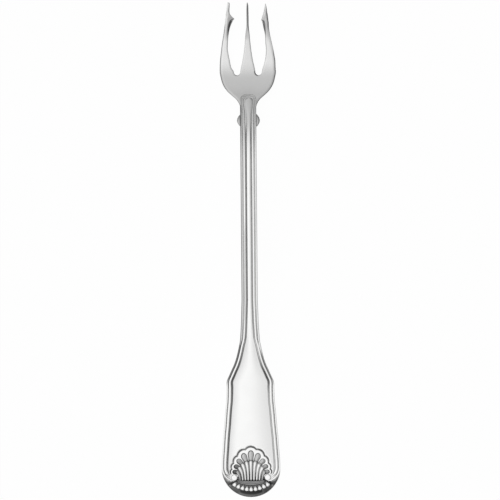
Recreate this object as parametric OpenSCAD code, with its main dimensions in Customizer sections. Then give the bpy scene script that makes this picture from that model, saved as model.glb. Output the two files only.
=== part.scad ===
// Oyster fork: three tines, a slender stem and a fiddle handle with a double thread border.
// A scallop shell fills the handle's end. The fork lies on its back on a table.
// +Y points to the tine tips and +Z out of the decorated face.
// The origin is the centre of the fork's length and width, on the table.

/* [Head] */
// Length of the tines, from the root line to the tips
tine_l = 20.4; // [15:0.1:26]
// Thickness of the metal at the tine tips
tine_tip_t = 0.9; // [0.6:0.05:1.4]
// Height of the tine tips' back over the table
tine_rise = 5; // [2:0.1:8]
// How far the right tine stops short of the others
right_tine_short = 0.4; // [0:0.1:2]
// Length of the palm, from the neck to the root line
palm_l = 6.6; // [5.5:0.1:10]
// Width across the palm at the root line
palm_w = 16.6; // [14:0.1:20]
// Thickness of the palm
palm_t = 1.6; // [1.2:0.05:2.2]

/* [Neck and stem] */
// Length of the flared neck
neck_l = 5.8; // [5.2:0.1:8]
// Width of the neck where it meets the palm
neck_w = 10.4; // [8.5:0.1:13]
// Length of the straight stem
stem_l = 55; // [40:0.1:75]
// Width of the stem
stem_w = 4.8; // [4.2:0.05:6]
// Thickness of the stem under its threads
stem_t = 1.85; // [1.4:0.05:2.6]
// Height of the stem's back over the table at its highest
arch_h = 6; // [3:0.1:10]
// Length of each shoulder lug
lug_l = 3.9; // [2.6:0.1:5]
// How far each lug stands out from the stem
lug_out = 1.05; // [0.5:0.05:1.5]
// Thickness of the lugs
lug_t = 1; // [0.6:0.05:1.2]

/* [Handle] */
// Length of the fiddle blade, from the stem to the shell
blade_l = 42.2; // [32:0.1:55]
// Straight length of the handle's end, beside the shell
end_straight_l = 7.3; // [6.5:0.05:10]
// Width of the handle at its end
handle_w = 17.4; // [15.6:0.1:20]
// Thickness of the handle under its threads
handle_t = 1.35; // [1:0.05:2]
// Slope of the handle's end down to the table, in degrees
end_slope = 5.7; // [3:0.1:8]
// Width of the bevel round the handle's tip
tip_bevel_w = 1.3; // [0.6:0.1:1.5]
// Depth of the bevel round the handle's tip
tip_bevel_h = 0.5; // [0.2:0.05:0.7]

/* [Thread border] */
// Width of the outer thread
outer_thread_w = 0.6; // [0.5:0.05:0.85]
// Width of the inner thread
inner_thread_w = 0.75; // [0.4:0.05:0.9]
// Width of the groove beside each thread
groove_w = 0.15; // [0.1:0.01:0.2]
// Height of the threads over the field
thread_h = 0.45; // [0.2:0.05:0.7]
// Height of the strip along the stem
strip_h = 0.4; // [0.2:0.05:0.6]

/* [Shell] */
// Bare field on each side of the shell, between its rim and the border
shell_gap = 1; // [0.5:0.05:1.4]
// Number of lobes, petals and ribs
lobe_count = 9; // [7:2:13]
// Height of the shell over the field
shell_t = 0.55; // [0.3:0.05:0.8]
// Diameter of each scroll ball
ball_d = 1.9; // [1.4:0.1:2]
// Distance from the handle's edge to the middle of each scroll ball
ball_in = 3; // [2.6:0.02:3.2]

/* [Fringe] */
// Width of the base band
band_w = 1.3; // [0.6:0.05:1.4]
// Height of the base band over the field
band_h = 0.45; // [0.3:0.05:0.6]
// Length of each tooth of the fringe
tooth_l = 1.6; // [1:0.05:1.8]
// Width of each tooth of the fringe
tooth_w = 0.9; // [0.5:0.05:0.95]
// Number of teeth in the fringe
tooth_count = 9; // [5:2:9]
// Angle that the band and fringe span, in degrees
band_angle = 66; // [50:1:70]

/* [Rests] */
// Depth of the two worn flats that the fork rests on
rest_cut = 0.12; // [0.06:0.01:0.2]

/* [Hidden] */
$fn = 48;

// Places along the fork
handle_r = handle_w / 2;
total_l = tine_l + palm_l + neck_l + stem_l + blade_l + end_straight_l + handle_r;
y_tip = total_l / 2;
y_root = y_tip - tine_l;
y_neck_top = y_root - palm_l;
y_stem_top = y_neck_top - neck_l;
y_blade_top = y_stem_top - stem_l;
y_end_top = y_blade_top - blade_l;
y_arc = y_end_top - end_straight_l;
y_end = -total_l / 2;
palm_hw = palm_w / 2;
stem_hw = stem_w / 2;
neck_hw = neck_w / 2;

// The lowest line of the belly, from the root line down, as a share of the palm
belly_share = 0.1;
// The highest line of the stem, from its top down, as a share of the stem
peak_share = 0.55;
// Rise or fall for each unit of length
palm_fall = 0.25;
tip_climb = 0.5;
end_fall = tan(end_slope);
y_belly = y_root - belly_share * palm_l;
y_peak = y_stem_top - peak_share * stem_l;
z_end_top = end_fall * (y_end_top - y_end) - rest_cut;
z_neck_top = palm_fall * (y_belly - y_neck_top) / 2 - rest_cut;
// Each station of the back's curve: its place, its height and its slope
BACK = [
    [y_end, -rest_cut, end_fall],
    [y_end_top, z_end_top, end_fall],
    [y_peak, arch_h, 0],
    [y_neck_top, z_neck_top, -palm_fall],
    [y_belly, -rest_cut, 0],
    [y_tip, tine_rise, tip_climb]];
// Each station of the thickness: its place, its thickness and its slope
THICK = [
    [y_end, handle_t, 0],
    [y_end_top, handle_t, 0],
    [y_blade_top, stem_t, 0],
    [y_stem_top, stem_t, 0],
    [y_root, palm_t, 0],
    [y_tip, tine_tip_t, 0]];

// Outlines: each row has the share of the piece's length and then shares of a half width
// The blade widens from the stem (0) to the handle's full width (1), through the shoulders
blade_shares = [[0, 0], [0.08, 0.018], [0.16, 0.036], [0.24, 0.067], [0.285, 0.093],
    [0.325, 0.145], [0.365, 0.205], [0.405, 0.275], [0.447, 0.372], [0.49, 0.502],
    [0.532, 0.628], [0.56, 0.713], [0.58, 0.742], [0.62, 0.748], [0.7, 0.764], [0.78, 0.815],
    [0.87, 0.861], [0.95, 0.912], [1, 0.936]];
// The end goes on from the blade to the full width
end_shares = [[0, 0.936], [0.25, 0.955], [0.5, 0.979], [0.75, 0.996], [1, 1]];
// The neck flares from the stem (0) to the palm (1)
neck_shares = [[0, 0], [0.38, 0.01], [0.55, 0.14], [0.72, 0.36], [0.9, 0.76], [1, 1]];
// The palm rounds out from the neck (0) to the root line (1)
palm_shares = [[0, 0], [0.12, 0.265], [0.3, 0.555], [0.47, 0.742], [0.64, 0.858],
    [0.82, 0.942], [1, 1]];
// Each tine: share of its length, then its outer and inner edges as shares of the palm's half
left_tine_shares = [[0, 1, 0.5], [0.06, 1, 0.585], [0.17, 0.987, 0.643],
    [0.32, 0.945, 0.706], [0.43, 0.908, 0.702], [0.55, 0.857, 0.673], [0.65, 0.821, 0.616],
    [0.735, 0.793, 0.521], [0.767, 0.786, 0.463], [0.8, 0.769, 0.553], [0.84, 0.766, 0.622],
    [0.88, 0.744, 0.639], [0.97, 0.722, 0.628], [1, 0.704, 0.634]];
right_tine_shares = [[0, 1, 0.5], [0.06, 0.99, 0.535], [0.17, 0.98, 0.613],
    [0.32, 0.918, 0.653], [0.43, 0.86, 0.633], [0.55, 0.8, 0.62], [0.65, 0.763, 0.568],
    [0.72, 0.758, 0.529], [0.765, 0.745, 0.492], [0.825, 0.729, 0.538], [0.88, 0.705, 0.579],
    [0.95, 0.681, 0.612], [1, 0.652, 0.63]];
centre_tine_shares = [[0, 0.265], [0.06, 0.242], [0.17, 0.181], [0.32, 0.125],
    [0.43, 0.096], [0.55, 0.071], [0.65, 0.044], [0.8, 0.0405], [0.95, 0.0355], [1, 0.017]];

// Edges: shares across a piece, from edge to edge
edge_shares = [-1, -0.86, -0.5, 0, 0.5, 0.86, 1];
// How much of the thickness the back rounds off at each edge, and the front on the head
back_round_share = 0.3;
front_round_share = 0.16;
// How much narrower the border is on the neck, with its arch's place and squareness
neck_border_share = 0.7;
arch_start_share = 0.55;
arch_top_share = 0.95;
arch_power = 0.6;
// Rows along each piece
tine_rows = 28;
palm_rows = 8;
neck_rows = 8;
stem_rows = 28;
blade_rows = 40;
end_rows = 6;
arc_rows = 18;
rise_rows = 3;
arch_rows = 12;
lobe_rows = 6;
// Angles below the end's centre line: to the scroll balls and to the outer thread's end
ball_angle = 30;
outer_curl_angle = 38;
// Height of a thread across its width, and the widths that the heights stand at
crown_shares = [[0, 0.45], [0.2, 0.86], [0.5, 1], [0.8, 0.86], [1, 0.45]];
// Where the strip ends, as a share of the blade, and how much its sides fall
strip_end_share = 0.34;
strip_toe_share = 0.1;
strip_rows = 12;
strip_round_share = 0.5;
// Depth of the dips between the lobes, as a share of the rim's radius
lobe_dip_share = 0.07;
// Petals and ribs: share of the way inwards, then heights at a lobe's edge and at its middle
petal_shares = [[0, 0.45, 0.45], [0.08, 0.85, 0.85], [0.2, 0.8, 0.5], [0.5, 0.8, 0.35],
    [0.8, 0.7, 0.45], [1, 0.4, 0.4]];
rib_shares = [[0, 0.4, 0.55], [0.12, 0.4, 0.95], [0.5, 0.4, 1], [0.85, 0.2, 0.9], [1, 0.15, 0.5]];
// Thickness of the strip that carries the teeth, as a share of a tooth's width
fringe_back_share = 0.25;

// The shell and the band under it, as shares of the shell's half width
fan_h_share = 1.42;
seam_share = 0.71;
shell_drop_share = 0.365;
band_share = 1.2;
band_lift_share = 0.43;

border_w = outer_thread_w + inner_thread_w + 2 * groove_w;
y_arch = y_stem_top + arch_start_share * neck_l;
arch_rise = (arch_top_share - arch_start_share) * neck_l;
// The slots lie between the centre tine's root and the outer tines' roots
slot_in = palm_hw * centre_tine_shares[0][1];
slot_out = palm_hw * left_tine_shares[0][2];
slot_r = (slot_out - slot_in) / 2;
slot_x = (slot_out + slot_in) / 2;
// The scroll balls stand on the inner thread's line, and the outer thread passes under them
ball_r = ball_d / 2;
ball_place_r = handle_r - ball_in;
ball_x = ball_place_r * cos(ball_angle);
ball_up = handle_r - ball_place_r * sin(ball_angle);
inner_curl_angle = ball_angle - asin(ball_r / ball_place_r);
inner_curl = (ball_in - outer_thread_w - groove_w - inner_thread_w / 2)
    * pow(inner_curl_angle / ball_angle, 2);
outer_curl = (ball_in - outer_thread_w - groove_w - ball_r)
    * pow(outer_curl_angle / ball_angle, 2);
// The shell fills the field, and its fan ends just over the scroll balls
shell_hw = handle_r - border_w - shell_gap;
fan_h = fan_h_share * shell_hw;
seam_r = seam_share * shell_hw;
shell_up = handle_r - shell_drop_share * shell_hw;
fan_rise_angle = atan((ball_up + ball_r - shell_up) / ball_x);
band_r = band_share * shell_hw;
band_up = handle_r + band_lift_share * shell_hw;

// A cubic between two stations, each with a place, a value and a slope
function cubic(a, b, x) =
    let (h = b[0] - a[0], s = (x - a[0]) / h)
    (2 * s * s * s - 3 * s * s + 1) * a[1] + (s * s * s - 2 * s * s + s) * h * a[2]
    + (3 * s * s - 2 * s * s * s) * b[1] + (s * s * s - s * s) * h * b[2];
function span(table, x, k = 0) =
    k >= len(table) - 2 || x < table[k + 1][0] ? k : span(table, x, k + 1);
// The value of a list of stations at a place
function along(stations, x) = let (k = span(stations, x)) cubic(stations[k], stations[k + 1], x);
// The slope that a table of shares has at one of its rows, for one of its columns
function row_slope(table, k, c) =
    let (a = table[max(k - 1, 0)], b = table[min(k + 1, len(table) - 1)])
    (b[c] - a[c]) / (b[0] - a[0]);
// The value of a table of shares, smoothed through its rows
function eased(table, x, c = 1) =
    let (k = span(table, x), a = table[k], b = table[k + 1])
    cubic([a[0], a[c], row_slope(table, k, c)], [b[0], b[c], row_slope(table, k + 1, c)], x);
// The value of a table of shares, straight between its rows
function straight(table, x, c = 1) =
    let (k = span(table, x), a = table[k], b = table[k + 1])
    a[c] + (b[c] - a[c]) * (x - a[0]) / (b[0] - a[0]);
function mix(a, b, s) = a + (b - a) * s;
function steps(from, to, count) = [for (i = [0:count]) mix(from, to, i / count)];

// The height of the fork's back and front at a place along it
function z_back(y) = along(BACK, y);
function z_front(y) = z_back(y) + along(THICK, y);
// The lean of the front at a place, in degrees
function front_lean(y) = atan((z_front(y + stem_hw) - z_front(y - stem_hw)) / stem_w);

// The half width of the border's outer line on the stem and the handle
function line_hw(y) =
    y >= y_blade_top ? stem_hw
    : y >= y_end_top
        ? mix(stem_hw, handle_r, eased(blade_shares, (y_blade_top - y) / blade_l))
    : y >= y_arc
        ? mix(stem_hw, handle_r, eased(end_shares, (y_end_top - y) / end_straight_l))
    : sqrt(max(handle_r * handle_r - (y_arc - y) * (y_arc - y), 0));
function line_slope(y) =
    let (d = stem_w / 100) (line_hw(y + d) - line_hw(y - d)) / (2 * d);
// How much the border narrows on its way up the neck
function border_share(y) =
    y < y_stem_top ? 1
    : mix(1, neck_border_share, min((y - y_stem_top) / (y_arch - y_stem_top), 1));
// The half width at a distance in from the border's outer line
function inset_hw(y, d) =
    let (m = y > y_end_top && y < y_blade_top ? line_slope(y) : 0)
    line_hw(y) - d * border_share(y) * sqrt(1 + m * m);

// A solid between a grid of points on top and one below, rows forward and columns rightward
module slab(top, bottom) {
    n = len(top);
    m = len(top[0]);
    points = [for (row = concat(top, bottom)) each row];
    quads = concat(
        [for (i = [0:n - 2], j = [0:m - 2])
            [i * m + j, (i + 1) * m + j, (i + 1) * m + j + 1, i * m + j + 1]],
        [for (i = [n:2 * n - 2], j = [0:m - 2])
            [i * m + j, i * m + j + 1, (i + 1) * m + j + 1, (i + 1) * m + j]],
        [for (i = [0:n - 2]) [(i + 1) * m, i * m, (n + i) * m, (n + i + 1) * m]],
        [for (i = [1:n - 1]) [i * m - 1, (i + 1) * m - 1, (n + i + 1) * m - 1, (n + i) * m - 1]],
        [for (j = [0:m - 2]) [j, j + 1, n * m + j + 1, n * m + j]],
        [for (j = [0:m - 2])
            [(n - 1) * m + j + 1, (n - 1) * m + j, (2 * n - 1) * m + j, (2 * n - 1) * m + j + 1]]);
    polyhedron(points, [for (q = quads) each [[q[0], q[1], q[2]], [q[0], q[2], q[3]]]]);
}

// The half width of the bare metal, which flares out from the border on the neck and palm
function body_hw(y) =
    y <= y_stem_top ? line_hw(y)
    : y <= y_neck_top
        ? mix(stem_hw, neck_hw, eased(neck_shares, (y - y_stem_top) / neck_l))
    : mix(neck_hw, palm_hw, eased(palm_shares, (y - y_neck_top) / palm_l));
// How far the handle's tip is bevelled at a point, which fades out where the threads curl in
function bevel_fall(x, y) =
    let (r = norm([x, y - y_arc]), low = y < y_arc ? asin((y_arc - y) / r) : 0)
    let (round = min(max(low / outer_curl_angle - 1, 0), 1))
    let (near = min(max(1 - (handle_r - r) / tip_bevel_w, 0), 1))
    tip_bevel_h * round * near * near;

// A bar between two edges, each given as a function of the place along the fork
// Its back rounds off towards the edges, and its front by the share that is given
module bar(ys, left, right, front_share = 0) {
    grid = [for (y = ys) [for (s = edge_shares)
        [mix(left(y), right(y), (s + 1) / 2), y, s * s * s * s * along(THICK, y)]]];
    slab([for (row = grid) [for (p = row)
            [p[0], p[1], z_front(p[1]) - p[2] * front_share - bevel_fall(p[0], p[1])]]],
        [for (row = grid) [for (p = row) [p[0], p[1], z_back(p[1]) + p[2] * back_round_share]]]);
}

// Everything under the table, which cuts the two worn flats
module table() {
    translate([-handle_w, -total_l, -handle_w]) cube([2 * handle_w, 2 * total_l, handle_w]);
}

// One tine, from a table that gives its outer and inner edges
module outer_tine(shares, side, short) {
    l = tine_l - short;
    ys = [for (row = [0:tine_rows]) y_root + l * row / tine_rows];
    outer = function (y) side * palm_hw * eased(shares, (y - y_root) / l, 1);
    inner = function (y) side * palm_hw * straight(shares, (y - y_root) / l, 2);
    difference() {
        if (side < 0) bar(ys, outer, inner, front_round_share);
        else bar(ys, inner, outer, front_round_share);
        table();
    }
}

module left_tine() {
    color("silver") outer_tine(left_tine_shares, -1, 0);
}

module right_tine() {
    color("silver") outer_tine(right_tine_shares, 1, right_tine_short);
}

module centre_tine() {
    left = function (y) -palm_hw * eased(centre_tine_shares, (y - y_root) / tine_l);
    right = function (y) palm_hw * eased(centre_tine_shares, (y - y_root) / tine_l);
    color("silver") difference() {
        bar(steps(y_root, y_tip, tine_rows), left, right, front_round_share);
        table();
    }
}

// The palm's top line dips round the root of each slot
function crotch_y(x) =
    let (d = abs(abs(x) - slot_x))
    d < slot_r ? y_root - sqrt(slot_r * slot_r - d * d) : y_root;

module palm() {
    slot = [for (a = [180:-30:0]) slot_x + slot_r * cos(a)];
    half = concat([0], slot, [mix(slot_x + slot_r, palm_hw, 0.6), palm_hw]);
    xs = concat([for (i = [len(half) - 1:-1:1]) -half[i]], half);
    grid = [for (i = [0:palm_rows]) [for (x = xs)
        let (top = crotch_y(x), y = mix(y_neck_top, top, i / palm_rows))
        [x * body_hw(y) / body_hw(top), y, pow(abs(x) / palm_hw, 6) * palm_t]]];
    color("silver") difference() {
        slab([for (row = grid) [for (p = row)
                [p[0], p[1], z_front(p[1]) - p[2] * front_round_share]]],
            [for (row = grid) [for (p = row)
                [p[0], p[1], z_back(p[1]) + p[2] * back_round_share]]]);
        table();
    }
}

body_left = function (y) -body_hw(y);
body_right = function (y) body_hw(y);

module neck() {
    color("silver") bar(steps(y_stem_top, y_neck_top, neck_rows), body_left, body_right);
}

module stem() {
    color("silver") bar(steps(y_blade_top, y_stem_top, stem_rows), body_left, body_right);
}

module blade() {
    color("silver") bar(steps(y_end_top, y_blade_top, blade_rows), body_left, body_right);
}

module handle_end() {
    arc = [for (a = [arc_rows - 0.15:-1:1]) y_arc - handle_r * sin(90 * a / arc_rows)];
    color("silver") difference() {
        bar(concat(arc, steps(y_arc, y_end_top, end_rows)), body_left, body_right);
        table();
    }
}

// One of the two nubs where the border steps in under the neck
module lug(side) {
    lug_r = (lug_l * lug_l / 4 + lug_out * lug_out) / (2 * lug_out);
    y = y_stem_top - lug_l / 2;
    translate([side * stem_hw, y, z_front(y) - lug_t])
        rotate([front_lean(y), 0, 0])
        linear_extrude(lug_t)
        intersection() {
            translate([side * (lug_out - lug_r), 0]) circle(lug_r);
            translate([side < 0 ? -stem_w : 0, -lug_l]) square([stem_w, 2 * lug_l]);
        }
}

module left_lug() {
    color("silver") lug(-1);
}

module right_lug() {
    color("silver") lug(1);
}

// The left half of a line inside the border, from its curl up to the top of its arch
function half_line(d, curl_angle, curl) = concat(
    [for (i = [end_rows:-1:1])
        let (a = curl_angle * i / end_rows)
        let (r = handle_r - d - curl * pow(i / end_rows, 2))
        [-r * cos(a), y_arc - r * sin(a)]],
    [for (y = steps(y_arc, y_end_top, end_rows)) [-inset_hw(y, d), y]],
    [for (i = [1:blade_rows]) let (y = mix(y_end_top, y_blade_top, i / blade_rows))
        [-inset_hw(y, d), y]],
    [for (i = [1:stem_rows]) let (y = mix(y_blade_top, y_stem_top, i / stem_rows))
        [-inset_hw(y, d), y]],
    [for (i = [1:rise_rows]) let (y = mix(y_stem_top, y_arch, i / rise_rows))
        [-inset_hw(y, d), y]],
    [for (i = [1:arch_rows]) let (a = 90 * i / arch_rows) arch_point(d, a)]);
function arch_point(d, a) =
    let (k = neck_border_share * d)
    [-(stem_hw - k) * pow(max(cos(a), 0), arch_power),
        y_arch + (arch_rise - k) * pow(sin(a), arch_power)];

// A thread that runs up one side of the fork, over its arch and down the other side
module thread(inset, width, curl_angle, curl) {
    left = [for (c = crown_shares) half_line(inset + width * c[0], curl_angle, curl)];
    n = len(left[0]);
    m = len(crown_shares);
    plan = concat(
        [for (i = [0:n - 1]) [for (j = [0:m - 1]) left[j][i]]],
        [for (i = [n - 2:-1:0]) [for (j = [0:m - 1]) [-left[j][i][0], left[j][i][1]]]]);
    slab([for (row = plan) [for (j = [0:m - 1])
            [row[j][0], row[j][1], z_front(row[j][1]) + thread_h * crown_shares[j][1]]]],
        [for (row = plan) [for (p = row) [p[0], p[1], z_front(p[1])]]]);
}

module outer_thread() {
    color("silver")
        thread(0, outer_thread_w, outer_curl_angle, outer_curl);
}

module inner_thread() {
    color("silver")
        thread(outer_thread_w + groove_w, inner_thread_w, inner_curl_angle, inner_curl);
}

// The strip's height as a share of its full height, from its low end up
function strip_fade(y, low) =
    min(mix(strip_toe_share, 1, (y - low) / (y_blade_top - low)), 1);

// The raised strip between the threads, which sinks into the field as the blade widens
module stem_strip() {
    low = y_blade_top - strip_end_share * blade_l;
    ys = concat(steps(low, y_blade_top, strip_rows), [for (i = [1:stem_rows])
        mix(y_blade_top, y_stem_top, i / stem_rows)]);
    grid = concat(
        [for (y = ys) [for (s = edge_shares)
            [s * inset_hw(y, border_w), y, strip_fade(y, low)]]],
        [for (i = [1:arch_rows - 1]) let (a = 90 * i / arch_rows, p = arch_point(border_w, a))
            [for (s = edge_shares) [-s * p[0], p[1], 1]]]);
    slab([for (row = grid) [for (j = [0:len(row) - 1]) let (p = row[j], s = edge_shares[j])
            [p[0], p[1], z_front(p[1]) + strip_h * p[2] * (1 - s * s * strip_round_share)]]],
        [for (row = grid) [for (p = row) [p[0], p[1], z_front(p[1])]]]);
}

// Moves children onto the sloping face of the handle's end, from the tip up
module on_end() {
    translate([0, y_end, z_back(y_end) + handle_t]) rotate([end_slope, 0, 0]) children();
}

// Points of the shell in the handle end's own plane, for a share across it from -1 to 1
function fan_angle(s) = 90 - s * (90 - fan_rise_angle);
function lobe_phase(s) = let (t = (s + 1) / 2 * lobe_count) 2 * (t - floor(t)) - 1;
function rim_r(s) =
    let (a = fan_angle(s), p = lobe_phase(s))
    shell_hw * fan_h / norm([fan_h * cos(a), shell_hw * sin(a)]) * (1 - lobe_dip_share * p * p);
function fan_point(s, v) =
    let (a = fan_angle(s), r = mix(rim_r(s), seam_r, v))
    [r * cos(a), shell_up + r * sin(a)];
function foot_point(s) =
    let (a = s * band_angle / 2, r = band_r - band_w / 2)
    [r * sin(a), band_up - r * cos(a)];
function rib_point(s, v) =
    let (a = fan_point(s, 1), b = foot_point(s)) [mix(a[0], b[0], v), mix(a[1], b[1], v)];

module shell_fan() {
    across = steps(-1, 1, lobe_count * lobe_rows);
    grid = [for (s = across) [for (v = petal_shares)
        let (p = fan_point(s, v[0]), hollow = 1 - pow(lobe_phase(s), 2))
        [p[0], p[1], shell_t * mix(v[1], v[2], hollow)]]];
    color("gainsboro") on_end()
        slab(grid, [for (row = grid) [for (p = row) [p[0], p[1], 0]]]);
}

module shell_ribs() {
    across = steps(-1, 1, lobe_count * lobe_rows);
    grid = [for (s = across) [for (v = rib_shares)
        let (p = rib_point(s, v[0]), round = cos(90 * lobe_phase(s)))
        [p[0], p[1], shell_t * mix(v[1], v[2], round)]]];
    color("gainsboro") on_end()
        slab(grid, [for (row = grid) [for (p = row) [p[0], p[1], 0]]]);
}

module ball(side) {
    on_end() translate([side * ball_x, ball_up, 0])
        difference() {
            sphere(d = ball_d);
            translate([-ball_d, -ball_d, -2 * ball_d]) cube(2 * ball_d);
        }
}

module left_ball() {
    color("white") ball(-1);
}

module right_ball() {
    color("white") ball(1);
}

// Turns a profile about the centre that the band and the fringe bend round
module bent(r) {
    translate([0, band_up, 0]) rotate([0, 0, -90 - band_angle / 2])
        rotate_extrude(angle = band_angle) translate([r, 0]) children();
}

module base_band() {
    round_r = (band_w * band_w / 4 + band_h * band_h) / (2 * band_h);
    color("darkgray") on_end() bent(band_r)
        intersection() {
            translate([0, band_h - round_r]) circle(round_r);
            translate([-band_w / 2, 0]) square([band_w, band_h]);
        }
}

module fringe() {
    r = band_r + band_w / 2;
    pitch = band_angle / tooth_count;
    straight_l = tooth_l - tooth_w / 2;
    color("gainsboro") on_end() difference() {
        union() {
            bent(r) square([tooth_l - tooth_w / 2, fringe_back_share * tooth_w]);
            for (i = [0:tooth_count - 1])
                translate([0, band_up, 0])
                    rotate([0, 0, (i + 0.5) * pitch - band_angle / 2])
                    translate([0, -r, 0]) {
                        rotate([90, 0, 0]) cylinder(d = tooth_w, h = straight_l);
                        translate([0, -straight_l, 0]) sphere(d = tooth_w);
                    }
        }
        translate([-handle_w, -handle_w, -2 * handle_w]) cube(2 * handle_w);
    }
}

left_tine();
centre_tine();
right_tine();
palm();
neck();
stem();
left_lug();
right_lug();
blade();
handle_end();
outer_thread();
inner_thread();
stem_strip();
shell_fan();
shell_ribs();
left_ball();
right_ball();
base_band();
fringe();
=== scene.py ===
"""An oyster fork in polished metal: three tines, a slender stem and a fiddle handle with a shell.

Every length is in metres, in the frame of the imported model: +Y points to the tine tips, +Z out of
the decorated face, and the fork lies on its back on the floor. The places and widths of the body's
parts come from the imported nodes, and the sizes of the relief are named in the classes below.
"""

import logging
import math
from dataclasses import dataclass, field
from enum import Enum
from typing import Any, Callable, Sequence

import bpy
import numpy as np
from bpy.types import ColorRamp, Material, Mesh, NodeSocket, NodeTree, Object, World
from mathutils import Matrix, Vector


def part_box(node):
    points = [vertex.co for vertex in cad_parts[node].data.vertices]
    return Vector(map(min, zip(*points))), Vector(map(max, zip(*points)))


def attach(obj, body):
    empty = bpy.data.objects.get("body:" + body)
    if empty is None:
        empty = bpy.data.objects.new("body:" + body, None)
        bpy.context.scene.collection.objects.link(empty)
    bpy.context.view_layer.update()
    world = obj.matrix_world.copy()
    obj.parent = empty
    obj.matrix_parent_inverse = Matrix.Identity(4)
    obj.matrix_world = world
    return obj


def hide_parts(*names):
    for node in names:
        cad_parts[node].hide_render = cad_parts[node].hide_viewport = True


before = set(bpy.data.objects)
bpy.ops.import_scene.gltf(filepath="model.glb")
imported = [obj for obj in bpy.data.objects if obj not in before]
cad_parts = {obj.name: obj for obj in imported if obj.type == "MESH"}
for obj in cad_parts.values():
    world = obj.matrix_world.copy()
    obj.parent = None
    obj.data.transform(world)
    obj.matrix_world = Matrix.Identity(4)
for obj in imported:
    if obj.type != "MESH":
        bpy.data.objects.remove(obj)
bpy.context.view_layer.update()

MM = 0.001
BODY = "root"
# Name under which each point keeps its level of painted shade, from 0 to 1
PAINTED_SHADE = "painted_shade"
# Points of one side of the skin that are closer than this in plan are one point
WELD = 1e-8
# Edges that turn more than this stay sharp
SHARP_ANGLE = math.radians(48)

Table = Sequence[Sequence[float]]
Numbers = np.ndarray
Pair = tuple[float, float]
Span = tuple[float, float, float, float]
Edge = Callable[[Numbers], Numbers]

log = logging.getLogger("oyster_fork")


def cubic(start: Sequence[float], end: Sequence[float], x: Numbers) -> Numbers:
    """A cubic between two stations.

    Args:
        start: Place, value and slope of the first station.
        end: Place, value and slope of the second station.
        x: Places to find the value at.

    Returns:
        The value at each place.
    """
    length = end[0] - start[0]
    s = (x - start[0]) / length
    return (
        (2 * s**3 - 3 * s**2 + 1) * start[1]
        + (s**3 - 2 * s**2 + s) * length * start[2]
        + (3 * s**2 - 2 * s**3) * end[1]
        + (s**3 - s**2) * length * end[2]
    )


def along(stations: Table, x: Numbers) -> Numbers:
    """The value of a curve through stations.

    Args:
        stations: Rows of a place, a value and a slope.
        x: Places to find the value at.

    Returns:
        The value at each place.
    """
    x = np.asarray(x, float)
    values = np.zeros_like(x)
    spans = np.searchsorted([row[0] for row in stations], x, side="right") - 1
    spans = np.clip(spans, 0, len(stations) - 2)
    for k in range(len(stations) - 1):
        here = spans == k
        values[here] = cubic(stations[k], stations[k + 1], x[here])
    return values


def eased(
    table: Table,
    x: Numbers,
    column: int = 1,
    first_slope: float | None = None,
    last_slope: float | None = None,
) -> Numbers:
    """The value of a table of shares, smoothed through its rows.

    Args:
        table: Rows of a place and one or more values.
        x: Places to find the value at.
        column: The column of values.
        first_slope: Slope at the first row, where it isn't that of its span.
        last_slope: Slope at the last row, where it isn't that of its span.

    Returns:
        The value at each place.
    """
    last = len(table) - 1
    stations = []
    for k, row in enumerate(table):
        low, high = table[max(k - 1, 0)], table[min(k + 1, last)]
        slope = (high[column] - low[column]) / (high[0] - low[0])
        stations.append([row[0], row[column], slope])
    if first_slope is not None:
        stations[0][2] = first_slope
    if last_slope is not None:
        stations[-1][2] = last_slope
    return along(stations, x)


def mix(a: Any, b: Any, share: Any) -> Any:
    """The value that lies a share of the way from a to b."""
    return a + (b - a) * share


def smooth(x: Numbers) -> Numbers:
    """A share from 0 to 1 with a soft start and end."""
    x = np.clip(x, 0, 1)
    return x * x * (3 - 2 * x)


def step(x: Any, start: Any, end: Any) -> Numbers:
    """A soft step from 0 at start to 1 at end, either way along x."""
    return smooth((x - start) / (end - start))


def plateau(x: Any, rise: Any, top: Any, edge: Any, foot: Any) -> Numbers:
    """A number that climbs from 0 at rise to 1 at top, and falls from 1 at edge to 0 at foot."""
    return step(x, rise, top) * step(x, foot, edge)


def slope_of(curve: Edge, x: Numbers, reach: float) -> Numbers:
    """The slope of a curve at places x, from its values at a short reach to either side."""
    return (curve(x + reach) - curve(x - reach)) / (2 * reach)


def edge_drop(inset: Numbers, width: Any, depth: Any) -> Numbers:
    """How far a rounded edge has fallen at a distance in from it."""
    near = np.clip(1 - inset / width, 0, 1)
    return depth * (0.7 * near**2 + 0.3 * (1 - np.sqrt(1 - near**2)))


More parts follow.
